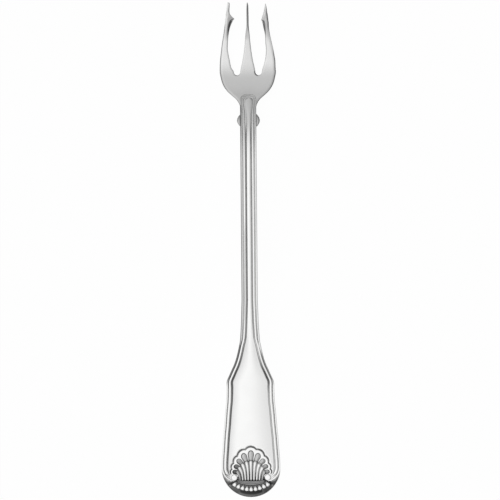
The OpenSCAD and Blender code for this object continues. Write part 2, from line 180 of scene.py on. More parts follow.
@dataclass(frozen=True)
class ForkPlan:
    """The fork's outline and heights, which every piece is built on.

    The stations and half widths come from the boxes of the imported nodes. The heights, the
    thicknesses and the widths of the border repeat the sizes of the CAD source.
    """

    # Thicknesses of the metal, and the side view of its back
    tine_tip_t: float = 0.9 * MM
    palm_t: float = 1.6 * MM
    stem_t: float = 1.85 * MM
    handle_t: float = 1.35 * MM
    tine_rise: float = 5 * MM
    arch_h: float = 6 * MM
    rest_cut: float = 0.12 * MM
    end_slope: float = math.radians(5.7)
    palm_fall: float = 0.25
    tip_climb: float = 0.5
    belly_share: float = 0.1
    peak_share: float = 0.55
    # The border's two threads and their grooves, and the strip between the threads
    outer_thread_w: float = 0.6 * MM
    inner_thread_w: float = 0.75 * MM
    groove_w: float = 0.15 * MM
    thread_h: float = 0.45 * MM
    strip_h: float = 0.4 * MM
    # The border on the neck: its width against the stem's, and the arch that ends it
    neck_border_share: float = 0.7
    arch_start_share: float = 0.55
    arch_top_share: float = 1.0
    arch_power: float = 0.6
    # How much shade is painted in its grooves on the neck and over the arch, and where that changes
    neck_groove_share: float = 0.2
    arch_groove_share: float = 0.5
    faint_groove_l: float = 8 * MM
    arch_shade_rise: Pair = (0.2 * MM, 1 * MM)
    # The handle's field: its crown, and the painted shade along its left border
    field_l: float = 16 * MM
    crown_h: float = 0.22 * MM
    left_field_shade_w: float = 2.7 * MM
    left_field_shade_level: float = 0.28
    # The shoulders, where the inner thread runs nearer the outline
    pinch_w: float = 0.24 * MM
    pinch_span: Span = (-25.5 * MM, -28.5 * MM, -37.5 * MM, -40.5 * MM)
    # Outlines, as shares of the way between two stations and of the change of half width
    blade_shares: Table = (
        (0, 0), (0.08, 0.018), (0.16, 0.036), (0.24, 0.067), (0.285, 0.093), (0.325, 0.145),
        (0.365, 0.205), (0.405, 0.275), (0.447, 0.372), (0.49, 0.502), (0.532, 0.628),
        (0.56, 0.713), (0.58, 0.742), (0.62, 0.748), (0.7, 0.764), (0.78, 0.815),
        (0.87, 0.861), (0.95, 0.912), (1, 0.936),
    )
    end_shares: Table = ((0, 0.936), (0.25, 0.955), (0.5, 0.979), (0.75, 0.996), (1, 1))
    neck_shares: Table = ((0, 0), (0.38, 0.01), (0.55, 0.14), (0.72, 0.36), (0.9, 0.76), (1, 1))
    palm_shares: Table = (
        (0, 0), (0.12, 0.265), (0.3, 0.555), (0.47, 0.742), (0.64, 0.858), (0.82, 0.942), (1, 1),
    )
    end_straight_l: float = 7.3 * MM
    y_tip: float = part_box("left_tine")[1].y
    y_root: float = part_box("left_tine")[0].y
    y_right_tip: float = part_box("right_tine")[1].y
    y_neck_top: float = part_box("palm")[0].y
    y_stem_top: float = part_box("neck")[0].y
    y_blade_top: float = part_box("stem")[0].y
    y_end_top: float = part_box("blade")[0].y
    palm_hw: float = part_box("palm")[1].x
    neck_hw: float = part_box("neck")[1].x
    stem_hw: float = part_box("stem")[1].x
    handle_r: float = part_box("handle_end")[1].x

    @property
    def y_arc(self) -> float:
        """Where the end's straight sides turn into its half circle."""
        return self.y_end_top - self.end_straight_l

    @property
    def y_end(self) -> float:
        """The handle's tip."""
        return self.y_arc - self.handle_r

    @property
    def y_arch(self) -> float:
        """Where the border's sides turn into its arch on the neck."""
        return self.y_stem_top + self.arch_start_share * (self.y_neck_top - self.y_stem_top)

    @property
    def border_w(self) -> float:
        """Width of the whole border, grooves included."""
        return self.outer_thread_w + self.inner_thread_w + 2 * self.groove_w

    @property
    def tip_z(self) -> float:
        """Height of the front at the handle's tip."""
        return self.handle_t - self.rest_cut

    def back_z(self, y: Numbers) -> Numbers:
        """Height of the fork's back along its middle.

        Args:
            y: Places along the fork.

        Returns:
            The height at each place.
        """
        fall = math.tan(self.end_slope)
        y_belly = self.y_root - self.belly_share * (self.y_root - self.y_neck_top)
        y_peak = self.y_stem_top - self.peak_share * (self.y_stem_top - self.y_blade_top)
        z_end_top = fall * (self.y_end_top - self.y_end) - self.rest_cut
        z_neck_top = self.palm_fall * (y_belly - self.y_neck_top) / 2 - self.rest_cut
        return along((
            (self.y_end, -self.rest_cut, fall),
            (self.y_end_top, z_end_top, fall),
            (y_peak, self.arch_h, 0),
            (self.y_neck_top, z_neck_top, -self.palm_fall),
            (y_belly, -self.rest_cut, 0),
            (self.y_tip, self.tine_rise, self.tip_climb),
        ), y)

    def thickness(self, y: Numbers) -> Numbers:
        """Thickness of the metal under its relief."""
        return along((
            (self.y_end, self.handle_t, 0),
            (self.y_end_top, self.handle_t, 0),
            (self.y_blade_top, self.stem_t, 0),
            (self.y_stem_top, self.stem_t, 0),
            (self.y_root, self.palm_t, 0),
            (self.y_tip, self.tine_tip_t, 0),
        ), y)

    def front_z(self, y: Numbers) -> Numbers:
        """Height of the fork's front along its middle."""
        return self.back_z(y) + self.thickness(y)

    def line_hw(self, y: Numbers) -> Numbers:
        """Half width of the border's outer line on the stem and the handle.

        Args:
            y: Places along the fork.

        Returns:
            The half width at each place.
        """
        y = np.asarray(y, float)
        blade = eased(self.blade_shares, self.share_between(y, self.y_blade_top, self.y_end_top))
        end = eased(
            self.end_shares, self.share_between(y, self.y_end_top, self.y_arc), last_slope=0
        )
        round_hw = np.sqrt(np.maximum(self.handle_r**2 - (self.y_arc - y) ** 2, 0))
        widened = np.where(y >= self.y_end_top, blade, end)
        straight_hw = mix(self.stem_hw, self.handle_r, widened)
        outline = np.where(y >= self.y_arc, straight_hw, round_hw)
        return np.where(y >= self.y_blade_top, self.stem_hw, outline)

    def line_stretch(self, y: Numbers) -> Numbers:
        """How much wider the border's section is across the fork where its line slants.

        Args:
            y: Places along the fork.

        Returns:
            The section's stretch at each place, from 1.
        """
        slope = slope_of(self.line_hw, y, self.stem_hw / 50)
        slants = (y > self.y_end_top) & (y < self.y_blade_top)
        return np.sqrt(1 + np.where(slants, slope, 0) ** 2)

    def border_share(self, y: Numbers) -> Numbers:
        """How much the border narrows on its way up the neck."""
        climbed = self.share_between(y, self.y_stem_top, self.y_arch)
        return mix(1, self.neck_border_share, climbed)

    def near_neck(self, y: Numbers, length: float) -> Numbers:
        """A soft step from 0 at a length below the neck to 1 on it."""
        return step(y, self.y_stem_top - length, self.y_stem_top)

    def groove_share(self, y: Numbers) -> Numbers:
        """How much shade is painted in the border's grooves: little on the neck, more over the
        arch.
        """
        faint = self.near_neck(y, self.faint_groove_l)
        over_arch = step(y - self.y_arch, *self.arch_shade_rise)
        return mix(mix(1, self.neck_groove_share, faint), self.arch_groove_share, over_arch)

    def inset_hw(self, y: Numbers, inset: float) -> Numbers:
        """Half width at a distance in from the border's outer line."""
        return self.line_hw(y) - inset * self.border_share(y) * self.line_stretch(y)

    def body_hw(self, y: Numbers) -> Numbers:
        """Half width of the bare metal, which flares out from the border on the neck and palm.

        Args:
            y: Places along the fork.

        Returns:
            The half width at each place.
        """
        y = np.asarray(y, float)
        neck_share = self.share_between(y, self.y_stem_top, self.y_neck_top)
        palm_share = self.share_between(y, self.y_neck_top, self.y_root)
        neck = mix(self.stem_hw, self.neck_hw, eased(self.neck_shares, neck_share))
        palm = mix(self.neck_hw, self.palm_hw, eased(self.palm_shares, palm_share, last_slope=0))
        head = np.where(y <= self.y_neck_top, neck, palm)
        return np.where(y <= self.y_stem_top, self.line_hw(y), head)

    def field_share(self, y: Numbers) -> Numbers:
        """How far the handle's field has opened out, from 0 at the top of the blade."""
        return step(y, self.y_blade_top, self.y_blade_top - self.field_l)

    def crown(self, x: Numbers, y: Numbers) -> Numbers:
        """How much the handle's field has fallen from its middle line."""
        return self.crown_h * self.field_share(y) * (x / self.body_hw(y)) ** 2

    def pinch(self, y: Numbers) -> Numbers:
        """How much nearer the outline the inner thread runs at the shoulders."""
        return self.pinch_w * plateau(y, *self.pinch_span)

    def left_field_shade(self, x: Numbers, y: Numbers, inset: Numbers) -> Numbers:
        """Painted shade on the field, at a distance in from the outer line on its left side."""
        near = np.clip(1 - (inset - self.border_w) / self.left_field_shade_w, 0, 1) ** 1.5
        return self.left_field_shade_level * near * self.field_share(y) * step(x, 0, -1 * MM)

    @staticmethod
    def share_between(y: Numbers, start: float, end: float) -> Numbers:
        """How far y has come from start to end, from 0 to 1."""
        return np.clip((y - start) / (end - start), 0, 1)

    def on_end(self, x: Any, up: Any, height: Any) -> tuple[Any, Any, Any]:
        """Moves a point across, up and over the face of the handle's end into the frame."""
        lean, rise = math.cos(self.end_slope), math.sin(self.end_slope)
        return x, up * lean - height * rise + self.y_end, up * rise + height * lean + self.tip_z


@dataclass(frozen=True)
class ShellPlan:
    """The shell, its scroll balls, and the band and fringe under it, on the handle end's face."""

    fork: ForkPlan
    lobes: int = 9
    shell_gap: float = 1 * MM
    shell_t: float = 0.55 * MM
    lobe_dip: float = 0.06
    lobe_spread: float = 0.13
    # Sizes and places as shares of the shell's half width
    fan_share: float = 1.42
    seam_share: float = 0.71
    hinge_drop_share: float = 0.365
    band_share: float = 1.2
    band_rise_share: float = 0.43
    ball_r: float = 0.95 * MM
    ball_in: float = 3 * MM
    ball_angle: float = math.radians(30)
    band_w: float = 1.3 * MM
    band_h: float = 0.45 * MM
    band_angle: float = math.radians(66)
    fringe_angle: float = math.radians(74)
    fringe_gap: float = 0.1 * MM
    tooth_l: float = 1.6 * MM
    tooth_spare: float = 0.05 * MM
    teeth: int = 9
    outer_curl_angle: float = math.radians(38)

    @property
    def half_w(self) -> float:
        """Half width of the shell's rim."""
        return self.fork.handle_r - self.fork.border_w - self.shell_gap

    @property
    def fan_h(self) -> float:
        """Height of the fan over its hinge."""
        return self.fan_share * self.half_w

    @property
    def seam_r(self) -> float:
        """Radius of the seam between the petals and the ribs."""
        return self.seam_share * self.half_w

    @property
    def hinge_up(self) -> float:
        """Where the fan's rays meet, up from the handle's tip."""
        return self.fork.handle_r - self.hinge_drop_share * self.half_w

    @property
    def band_r(self) -> float:
        """Radius of the base band's middle line."""
        return self.band_share * self.half_w

    @property
    def band_up(self) -> float:
        """Centre of the base band's arc, up from the handle's tip."""
        return self.fork.handle_r + self.band_rise_share * self.half_w

    @property
    def ball_place_r(self) -> float:
        """Distance of each ball from the centre of the end's half circle."""
        return self.fork.handle_r - self.ball_in

    @property
    def ball_x(self) -> float:
        """Distance of each ball from the fork's middle line."""
        return self.ball_place_r * math.cos(self.ball_angle)

    @property
    def ball_up(self) -> float:
        """Place of each ball, up from the handle's tip."""
        return self.fork.handle_r - self.ball_place_r * math.sin(self.ball_angle)

    @property
    def rise_angle(self) -> float:
        """Angle of the fan's lowest rays."""
        return math.atan((self.ball_up + self.ball_r - self.hinge_up) / self.ball_x)

    @property
    def fringe_start(self) -> float:
        """Radius at which the teeth begin."""
        return self.band_r + self.band_w / 2 + self.fringe_gap

    @property
    def fringe_end(self) -> float:
        """Radius at which the teeth end."""
        return self.band_r + self.band_w / 2 + self.tooth_l + self.tooth_spare

    @property
    def thread_reach(self) -> float:
        """Distance from the border's line to the ball's middle, less the outer thread."""
        return self.ball_in - self.fork.outer_thread_w - self.fork.groove_w

    @property
    def outer_curl(self) -> float:
        """How far in the outer thread has curled at its end."""
        return self.curl_in(self.thread_reach - self.ball_r, self.outer_curl_angle)

    @property
    def inner_curl(self) -> float:
        """How far in the inner thread has curled where it meets its ball."""
        reach = self.thread_reach - self.fork.inner_thread_w / 2
        return self.curl_in(reach, self.inner_curl_angle)

    @property
    def inner_curl_angle(self) -> float:
        """How far the inner thread follows the half circle before it meets its ball."""
        return self.ball_angle - math.asin(self.ball_r / self.ball_place_r)

    def curl_in(self, reach: float, angle: float) -> float:
        """How far in a thread is at its end's angle, of its reach in under the ball."""
        return reach * (angle / self.ball_angle) ** 2

    def rim_r(self, angle: Numbers) -> Numbers:
        """Radius of the lobed rim at an angle about the hinge, from the fork's right.

        Args:
            angle: Angles of the rays to find it on.

        Returns:
            The radius on each ray.
        """
        share = (math.pi / 2 - angle) / (math.pi / 2 - self.rise_angle)
        spread = self.lobe_spread / (math.pi / 2 - self.rise_angle)
        base = np.asarray(share, float)
        # Finds the ray that the fan's spread has turned to this angle, step by step
        for _ in range(12):
            base = share - spread * np.sin(math.pi * base)
        turn = (base + 1) / 2 * self.lobes
        phase = 2 * (turn - np.floor(turn)) - 1
        oval = self.half_w * self.fan_h / np.hypot(
            self.fan_h * np.cos(angle), self.half_w * np.sin(angle)
        )
        return oval * (1 - self.lobe_dip * phase**2)


class Wire:
    """A number in a node tree. Python's operators on it add Math nodes."""

    def __init__(self, tree: "Tree", socket: NodeSocket) -> None:
        """Wraps an output socket of one of the tree's nodes."""
        self.tree = tree
        self.socket = socket

    def do(self, operation: str, *others: Any) -> "Wire":
        """Adds a Math node with this number first."""
        return self.tree.math(operation, self, *others)

    def out(self, name: str) -> "Wire":
        """Another output of the same node."""
        return Wire(self.tree, self.socket.node.outputs[name])

    def __add__(self, other: Any) -> "Wire":
        """The sum."""
        return self.do("ADD", other)

    __radd__ = __add__

    def __mul__(self, other: Any) -> "Wire":
        """The product."""
        return self.do("MULTIPLY", other)

    __rmul__ = __mul__

    def __sub__(self, other: Any) -> "Wire":
        """The difference."""
        return self.do("SUBTRACT", other)

    def __rsub__(self, other: Any) -> "Wire":
        """The difference the other way round."""
        return self.tree.math("SUBTRACT", other, self)

    def __truediv__(self, other: Any) -> "Wire":
        """The quotient."""
        return self.do("DIVIDE", other)

    def __rtruediv__(self, other: Any) -> "Wire":
        """The quotient the other way round."""
        return self.tree.math("DIVIDE", other, self)

    def __pow__(self, other: Any) -> "Wire":
        """The power."""
        return self.do("POWER", other)

    def __abs__(self) -> "Wire":
        """The number without its sign."""
        return self.do("ABSOLUTE")

    def most(self, *others: Any) -> "Wire":
        """The greatest of this number and the others."""
        first, *rest = others
        greatest = self.do("MAXIMUM", first)
        return greatest.most(*rest) if rest else greatest

    def clamp(self, low: float = 0, high: float = 1) -> "Wire":
        """The number, held between two limits."""
        return self.do("MAXIMUM", low).do("MINIMUM", high)

    def smooth(self, start: float, end: float) -> "Wire":
        """A soft step from 0 at start to 1 at end."""
        s = ((self - start) / (end - start)).clamp()
        return s * s * (3 - 2 * s)


class Tree:
    """A node tree that is filled from Python expressions."""

    def __init__(self, nodes: NodeTree) -> None:
        """Takes over a node tree."""
        self.nodes = nodes

    @classmethod
    def of(cls, owner: Material | World) -> "Tree":
        """Empties the node tree of a material or a world and takes it over."""
        owner.use_nodes = True
        owner.node_tree.nodes.clear()
        return cls(owner.node_tree)

    def end(self, kind: str, wire: Wire) -> None:
        """Links the tree's result to an output node."""
        self.feed(self.nodes.nodes.new(kind).inputs[0], wire)

    def node(
        self,
        kind: str,
        settings: dict[str, Any] | None = None,
        inputs: dict[int | str, Any] | None = None,
        output: int | str = 0,
    ) -> Wire:
        """Adds a node, sets its settings and then its sockets.

        Args:
            kind: The node's type.
            settings: Properties of the node, or of its colour ramp as a list of stops.
            inputs: Values or wires by socket index or identifier.
            output: The output that the wire comes from.

        Returns:
            A wire from the output.
        """
        made = self.nodes.nodes.new(kind)
        for name, value in (settings or {}).items():
            if name == "stops":
                self.set_stops(made.color_ramp, value)
            else:
                setattr(made, name, value)
        for key, value in (inputs or {}).items():
            socket = made.inputs[key] if isinstance(key, int) else self.find(made.inputs, key)
            self.feed(socket, value)
        return Wire(self, made.outputs[output])

    @staticmethod
    def find(sockets: Any, name: str) -> NodeSocket:
        """The socket with that identifier."""
        return next(s for s in sockets if name in (s.identifier, s.name))

    @staticmethod
    def set_stops(ramp: ColorRamp, stops: Sequence[tuple[float, float]]) -> None:
        """Gives a colour ramp grey stops, each with a place and a level.

        Args:
            ramp: The colour ramp.
            stops: Places and levels, from the lowest place.
        """
        ramp.interpolation = "EASE"
        while len(ramp.elements) < len(stops):
            ramp.elements.new(1)
        for element, (place, level) in zip(ramp.elements, stops):
            element.position = place
            element.color = (level, level, level, 1)

    def feed(self, socket: NodeSocket, value: Any) -> None:
        """Links a wire to a socket, or sets the socket's own value."""
        if isinstance(value, Wire):
            self.nodes.links.new(value.socket, socket)
        else:
            socket.default_value = value

    def math(self, operation: str, *values: Any) -> Wire:
        """Adds a Math node on numbers or wires."""
        return self.node("ShaderNodeMath", {"operation": operation}, dict(enumerate(values)))

    def mix(self, a: Any, b: Any, share: Any) -> Wire:
        """Mixes two colours."""
        return self.node(
            "ShaderNodeMix",
            {"data_type": "RGBA"},
            {"Factor_Float": share, "A_Color": a, "B_Color": b},
            output=2,
        )

    def scaled(self, vector: Any, share: Any) -> Wire:
        """Multiplies a vector or a colour by a number."""
        return self.node(
            "ShaderNodeVectorMath", {"operation": "SCALE"}, {0: vector, "Scale": share}
        )

    def vector(self, x: Any, y: Any, z: Any) -> Wire:
        """Joins three numbers into a vector."""
        return self.node("ShaderNodeCombineXYZ", inputs={0: x, 1: y, 2: z})

    def parts(self, vector: Wire) -> tuple[Wire, Wire, Wire]:
        """Splits a vector into its three numbers."""
        split = self.node("ShaderNodeSeparateXYZ", inputs={0: vector})
        return split.out("X"), split.out("Y"), split.out("Z")


class Recipe(Tree):
    """A Geometry Nodes tree with named inputs, which makes one piece as a plain mesh."""

    KINDS = {int: "NodeSocketInt", float: "NodeSocketFloat"}

    def __init__(self, name: str, **sizes: float | int) -> None:
        """Starts the tree.

        Args:
            name: Name of the piece that the tree makes.
            **sizes: The tree's named inputs and their values.
        """
        super().__init__(bpy.data.node_groups.new(name + "_recipe", "GeometryNodeTree"))
        self.name = name
        self.sizes = sizes
        panel = self.nodes.interface
        panel.new_socket("Geometry", in_out="INPUT", socket_type="NodeSocketGeometry")
        for size, value in sizes.items():
            panel.new_socket(size, in_out="INPUT", socket_type=self.KINDS[type(value)])
        panel.new_socket("Geometry", in_out="OUTPUT", socket_type="NodeSocketGeometry")
        self.source = self.node("NodeGroupInput")

    def size(self, name: str) -> Wire:
        """The wire of a named input."""
        return self.source.out(name)

    def store(self, geometry: Wire, name: str, value: Wire) -> Wire:
        """Keeps a number for each point under a name."""
        return self.node(
            "GeometryNodeStoreNamedAttribute",
            {"data_type": "FLOAT", "domain": "POINT"},
            {"Geometry": geometry, "Name": name, "Value": value},
        )

    def make(
        self, geometry: Wire, material: Material, path: Mesh | None = None
    ) -> Object:
        """Ends the tree, runs it and keeps its result as a plain mesh.

        Args:
            geometry: What the tree has made.
            material: The piece's material.
            path: The mesh that the tree starts from, if it needs one.

        Returns:
            The finished piece, with no modifier left on it.
        """
        softened = self.node("GeometryNodeSetShadeSmooth", inputs={"Geometry": geometry})
        real = self.node("GeometryNodeRealizeInstances", inputs={"Geometry": softened})
        dressed = self.node(
            "GeometryNodeSetMaterial", inputs={"Geometry": real, "Material": material}
        )
        self.end("NodeGroupOutput", dressed)
        start = path or bpy.data.meshes.new(self.name + "_start")
        maker = bpy.data.objects.new(self.name + "_maker", start)
        bpy.context.scene.collection.objects.link(maker)
        modifier = maker.modifiers.new("recipe", "NODES")
        modifier.node_group = self.nodes
        for item in self.nodes.interface.items_tree:
            if item.in_out == "INPUT" and item.name in self.sizes:
                modifier[item.identifier] = self.sizes[item.name]
        ready = maker.evaluated_get(bpy.context.evaluated_depsgraph_get())
        mesh = bpy.data.meshes.new_from_object(ready)
        bpy.data.objects.remove(maker)
        return finish_piece(self.name, mesh)


def signed_volume(mesh: Mesh) -> float:
    """The volume inside a closed mesh, which is below zero when its faces point inwards.

    Args:
        mesh: The mesh.

    Returns:
        Its volume.
    """
    points = read_points(mesh)
    mesh.calc_loop_triangles()
    corners = np.zeros(len(mesh.loop_triangles) * 3, np.int32)
    mesh.loop_triangles.foreach_get("vertices", corners)
    a, b, c = (points[corners[k::3]] for k in range(3))
    return float(np.einsum("ij,ij->i", a, np.cross(b, c)).sum() / 6)


def read_points(mesh: Mesh) -> Numbers:
    """The places of a mesh's points."""
    places = np.zeros(len(mesh.vertices) * 3, np.float32)
    mesh.vertices.foreach_get("co", places)
    return places.reshape(-1, 3).astype(float)


def keep_numbers(mesh: Mesh, name: str, values: Numbers) -> None:
    """Keeps a number for each of a mesh's points under a name."""
    kept = mesh.attributes.new(name, "FLOAT", "POINT")
    kept.data.foreach_set("value", values.astype(np.float32))


def ring_faces(rings: int, count: int) -> list[tuple[int, ...]]:
    """The faces of a body whose points lie in rings, one over the other.

    Args:
        rings: How many rings there are.
        count: Points in each ring.

    Returns:
        The faces between the rings, and the one that closes the first ring.
    """
    sides = [
        (low + k, low + (k + 1) % count, low + count + (k + 1) % count, low + count + k)
        for low in range(0, (rings - 1) * count, count) for k in range(count)
    ]
    return sides + [tuple(range(count))[::-1]]


def cast_piece(
    name: str, points: Numbers, faces: list[tuple[int, ...]], painted_shade: Numbers, metal: Material
) -> Object:
    """Makes a piece of points and faces.

    Args:
        name: The piece's name.
        points: Its points.
        faces: Its faces, by the numbers of their points.
        painted_shade: How much shade is painted on the metal at each point.
        metal: Its material.

    Returns:
        The piece.
    """
    mesh = bpy.data.meshes.new(name)
    mesh.from_pydata(points.tolist(), [], faces)
    mesh.materials.append(metal)
    keep_numbers(mesh, PAINTED_SHADE, painted_shade)
    return finish_piece(name, mesh)


def finish_piece(name: str, mesh: Mesh) -> Object:
    """Makes an object of a mesh whose faces are smooth, apart from its sharp edges.

    Args:
        name: The piece's name.
        mesh: Its finished mesh.

    Returns:
        The piece, linked to the scene.
    """
    mesh.name = name
    if signed_volume(mesh) < 0:
        mesh.flip_normals()
    mesh.shade_smooth()
    mesh.set_sharp_from_angle(angle=SHARP_ANGLE)
    piece = bpy.data.objects.new(name, mesh)
    bpy.context.scene.collection.objects.link(piece)
    return piece


def settle(piece: Object, node: str) -> None:
    """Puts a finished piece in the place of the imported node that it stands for.

    Args:
        piece: The piece.
        node: Name of the node.
    """
    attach(piece, BODY)
    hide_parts(node)
    log.info("%s: %d points, stands for %s", piece.name, len(piece.data.vertices), node)


@dataclass(frozen=True)
class MetalFinish:
    """Polished metal, with painted shade in its hollows and shaded spots, hairlines and haze."""

    name: str
    # The bright metal, and the painted shade that its hollows and shaded spots go towards
    colour: tuple[float, float, float] = (0.965, 0.965, 0.96)
    roughness: float = 0.14
    shade: tuple[float, float, float] = (0.03, 0.03, 0.03)
    depth: float = 0.97
    hollow_roughness: float = 0.2
    # The brushed head, also painted darker: where that starts and is full, its level of painted
    # shade and its roughness
    satin_start: float = 26 * MM
    satin_end: float = 43 * MM
    head_shade_level: float = 0.64
    satin_roughness: float = 0.18
    # The tines, where the head's painted shade and roughness ease off again
    tines_start: float = 50.5 * MM
    tines_end: float = 56 * MM
    tines_share: float = 0.62
    # Patches of haze, and how much they change
    haze: float = 4 * MM
    haze_level: float = 0.03
    haze_roughness: float = 0.06
    # Hairlines: spacing across the fork, depth, strength, and width as a share of the length
    hairline: float = 0.12 * MM
    hairline_depth: float = 0.001 * MM
    hairline_strength: float = 0.25
    hairline_stretch: float = 0.03
    hairline_roughness: float = 0.05

    def build(self) -> Material:
        """Makes the material.

        Returns:
            The material.
        """
        material = bpy.data.materials.new(self.name)
        tree = Tree.of(material)
        place = tree.node("ShaderNodeTexCoord", output="Object")
        _, y, _ = tree.parts(place)
        # Over the head the colour is painted darker and the metal rougher; on the tines less so
        eased_on_tines = y.smooth(self.tines_start, self.tines_end) * self.tines_share
        satin_and_shade = y.smooth(self.satin_start, self.satin_end) * (1 - eased_on_tines)
        # Each point's level of painted shade, which also roughens the metal
        hollow_and_shade = tree.node(
            "ShaderNodeAttribute", {"attribute_name": PAINTED_SHADE}, output="Fac"
        ).clamp()
        lines = self.hairlines(tree, place) - 0.5
        haze = tree.node(
            "ShaderNodeTexNoise", inputs={"Vector": place, "Scale": 1 / self.haze, "Detail": 3.0}
        ) - 0.5
        # The head's painted shade, and the haze's random change of level
        level = (1 - satin_and_shade * (1 - self.head_shade_level)) * (1 - haze * self.haze_level)
        bright = tree.scaled(self.colour, level)
        rough = self.roughness + satin_and_shade * self.satin_roughness + hollow_and_shade * self.hollow_roughness
        rough = rough + haze * self.haze_roughness + lines * self.hairline_roughness
        bump = tree.node("ShaderNodeBump", inputs={
            "Strength": self.hairline_strength, "Distance": self.hairline_depth, "Height": lines,
        })
        # Its base colour goes towards the shade colour by the points' painted shade
        metal = tree.node("ShaderNodeBsdfPrincipled", inputs={
            "Base Color": tree.mix(bright, (*self.shade, 1), hollow_and_shade * self.depth),
            "Metallic": 1.0,
            "Roughness": rough.clamp(0.05, 0.9),
            "Normal": bump,
        })
        tree.end("ShaderNodeOutputMaterial", metal)
        return material

    def hairlines(self, tree: Tree, place: Wire) -> Wire:
        """Fine lines that run along the fork, as a number from 0 to 1."""
        drawn = tree.node("ShaderNodeMapping", inputs={
            "Vector": place, "Scale": (1.0, self.hairline_stretch, 1.0),
        })
        return tree.node("ShaderNodeTexNoise", inputs={
            "Vector": drawn, "Scale": 1 / self.hairline, "Detail": 4.0,
        })


@dataclass(frozen=True)
class Moat:
    """The groove between the inner thread and the field, with painted shade in and beside it.

    Levels say how much shade is painted there, from 0 to 1. Two of them are left and right.
    """

    fork: ForkPlan
    # Angle on the handle's end at which the inner thread, and the groove, end
    end_angle: float
    half_w: float = 0.19 * MM
    depth: float = 0.1 * MM
    # Its widest place, how much wider it is there, and how far from there it is narrow again
    blade_y: float = -37 * MM
    blade_share: float = 1.4
    blade_l: float = 8 * MM
    # Levels on the stem and below the widest place, and how much further in it lies there
    stem_level: float = 0.5
    low_levels: Pair = (0.8, 0.45)
    low_shift: float = 0.12 * MM
    low_l: float = 4 * MM
    # Level between the threads, and where that is, as shares of the border's width
    feet_level: float = 0.8
    feet_span: Pair = (0.2, 1)
    # Where it fades out, as shares of its end angle and as places below the neck
    end_fade: Pair = (1.4, 0.6)
    neck_fade: Pair = (-2 * MM, -6.5 * MM)

    def cut(self, x: Numbers, y: Numbers, inset: Numbers) -> tuple[Numbers, Numbers]:
        """How the groove lowers the field and paints shade on it.

        Args:
            x: Places across the fork.
            y: Places along the fork.
            inset: Distances in from the border's outer line.

        Returns:
            How deep the groove is, and the level of painted shade there.
        """
        fork = self.fork
        radius = np.hypot(x, np.minimum(y - fork.y_arc, 0))
        low = np.arcsin(np.clip((fork.y_arc - y) / np.maximum(radius, WELD), 0, 1))
        on_border = (y < fork.y_arch) * step(low / self.end_angle, *self.end_fade)
        shown = on_border * step(y - fork.y_stem_top, *self.neck_fade)
        broad = step(np.abs(y - self.blade_y), self.blade_l, 0)
        shift = self.low_shift * step(y, self.blade_y, self.blade_y - self.low_l)
        middle = fork.border_w + 0.35 * self.half_w - fork.pinch(y) + shift
        half_w = self.half_w * (1 + self.blade_share * broad)
        near = smooth(1.3 * (1 - np.abs(inset - middle) / half_w))
        across = inset / fork.border_w
        feet = (across > self.feet_span[0]) & (across < self.feet_span[1])
        below = step(y, fork.y_blade_top, self.blade_y)
        level = mix(self.stem_level, np.where(x < 0, *self.low_levels), below)
        painted_shade = np.maximum(near, self.feet_level * feet) * shown * mix(level, 1, broad)
        return self.depth * near * shown, painted_shade


class Side(Enum):
    """The two sides of the fork, by the sign of their x."""

    LEFT = -1
    RIGHT = 1


@dataclass
class Sheet:
    """A patch of the body: its front and back over one grid of points in plan.

    Rows run up the fork, or round its end, and columns run rightwards or outwards.

    Attributes:
        piece: Name of the piece that the patch belongs to.
        x: Places across the fork, a row of numbers for each row of the grid.
        y: Places along the fork.
        front: Heights of the front.
        back: Heights of the back.
        painted_shade: How much shade is painted on the front, from 0 to 1.
        left_wall: Whether the first column is an edge of the fork.
        right_wall: Whether the last column is one.
        top_wall: Which spans of the last row are one.
    """

    piece: str
    x: Numbers
    y: Numbers
    front: Numbers
    back: Numbers
    painted_shade: Numbers
    left_wall: bool = True
    right_wall: bool = True
    top_wall: Numbers | None = None


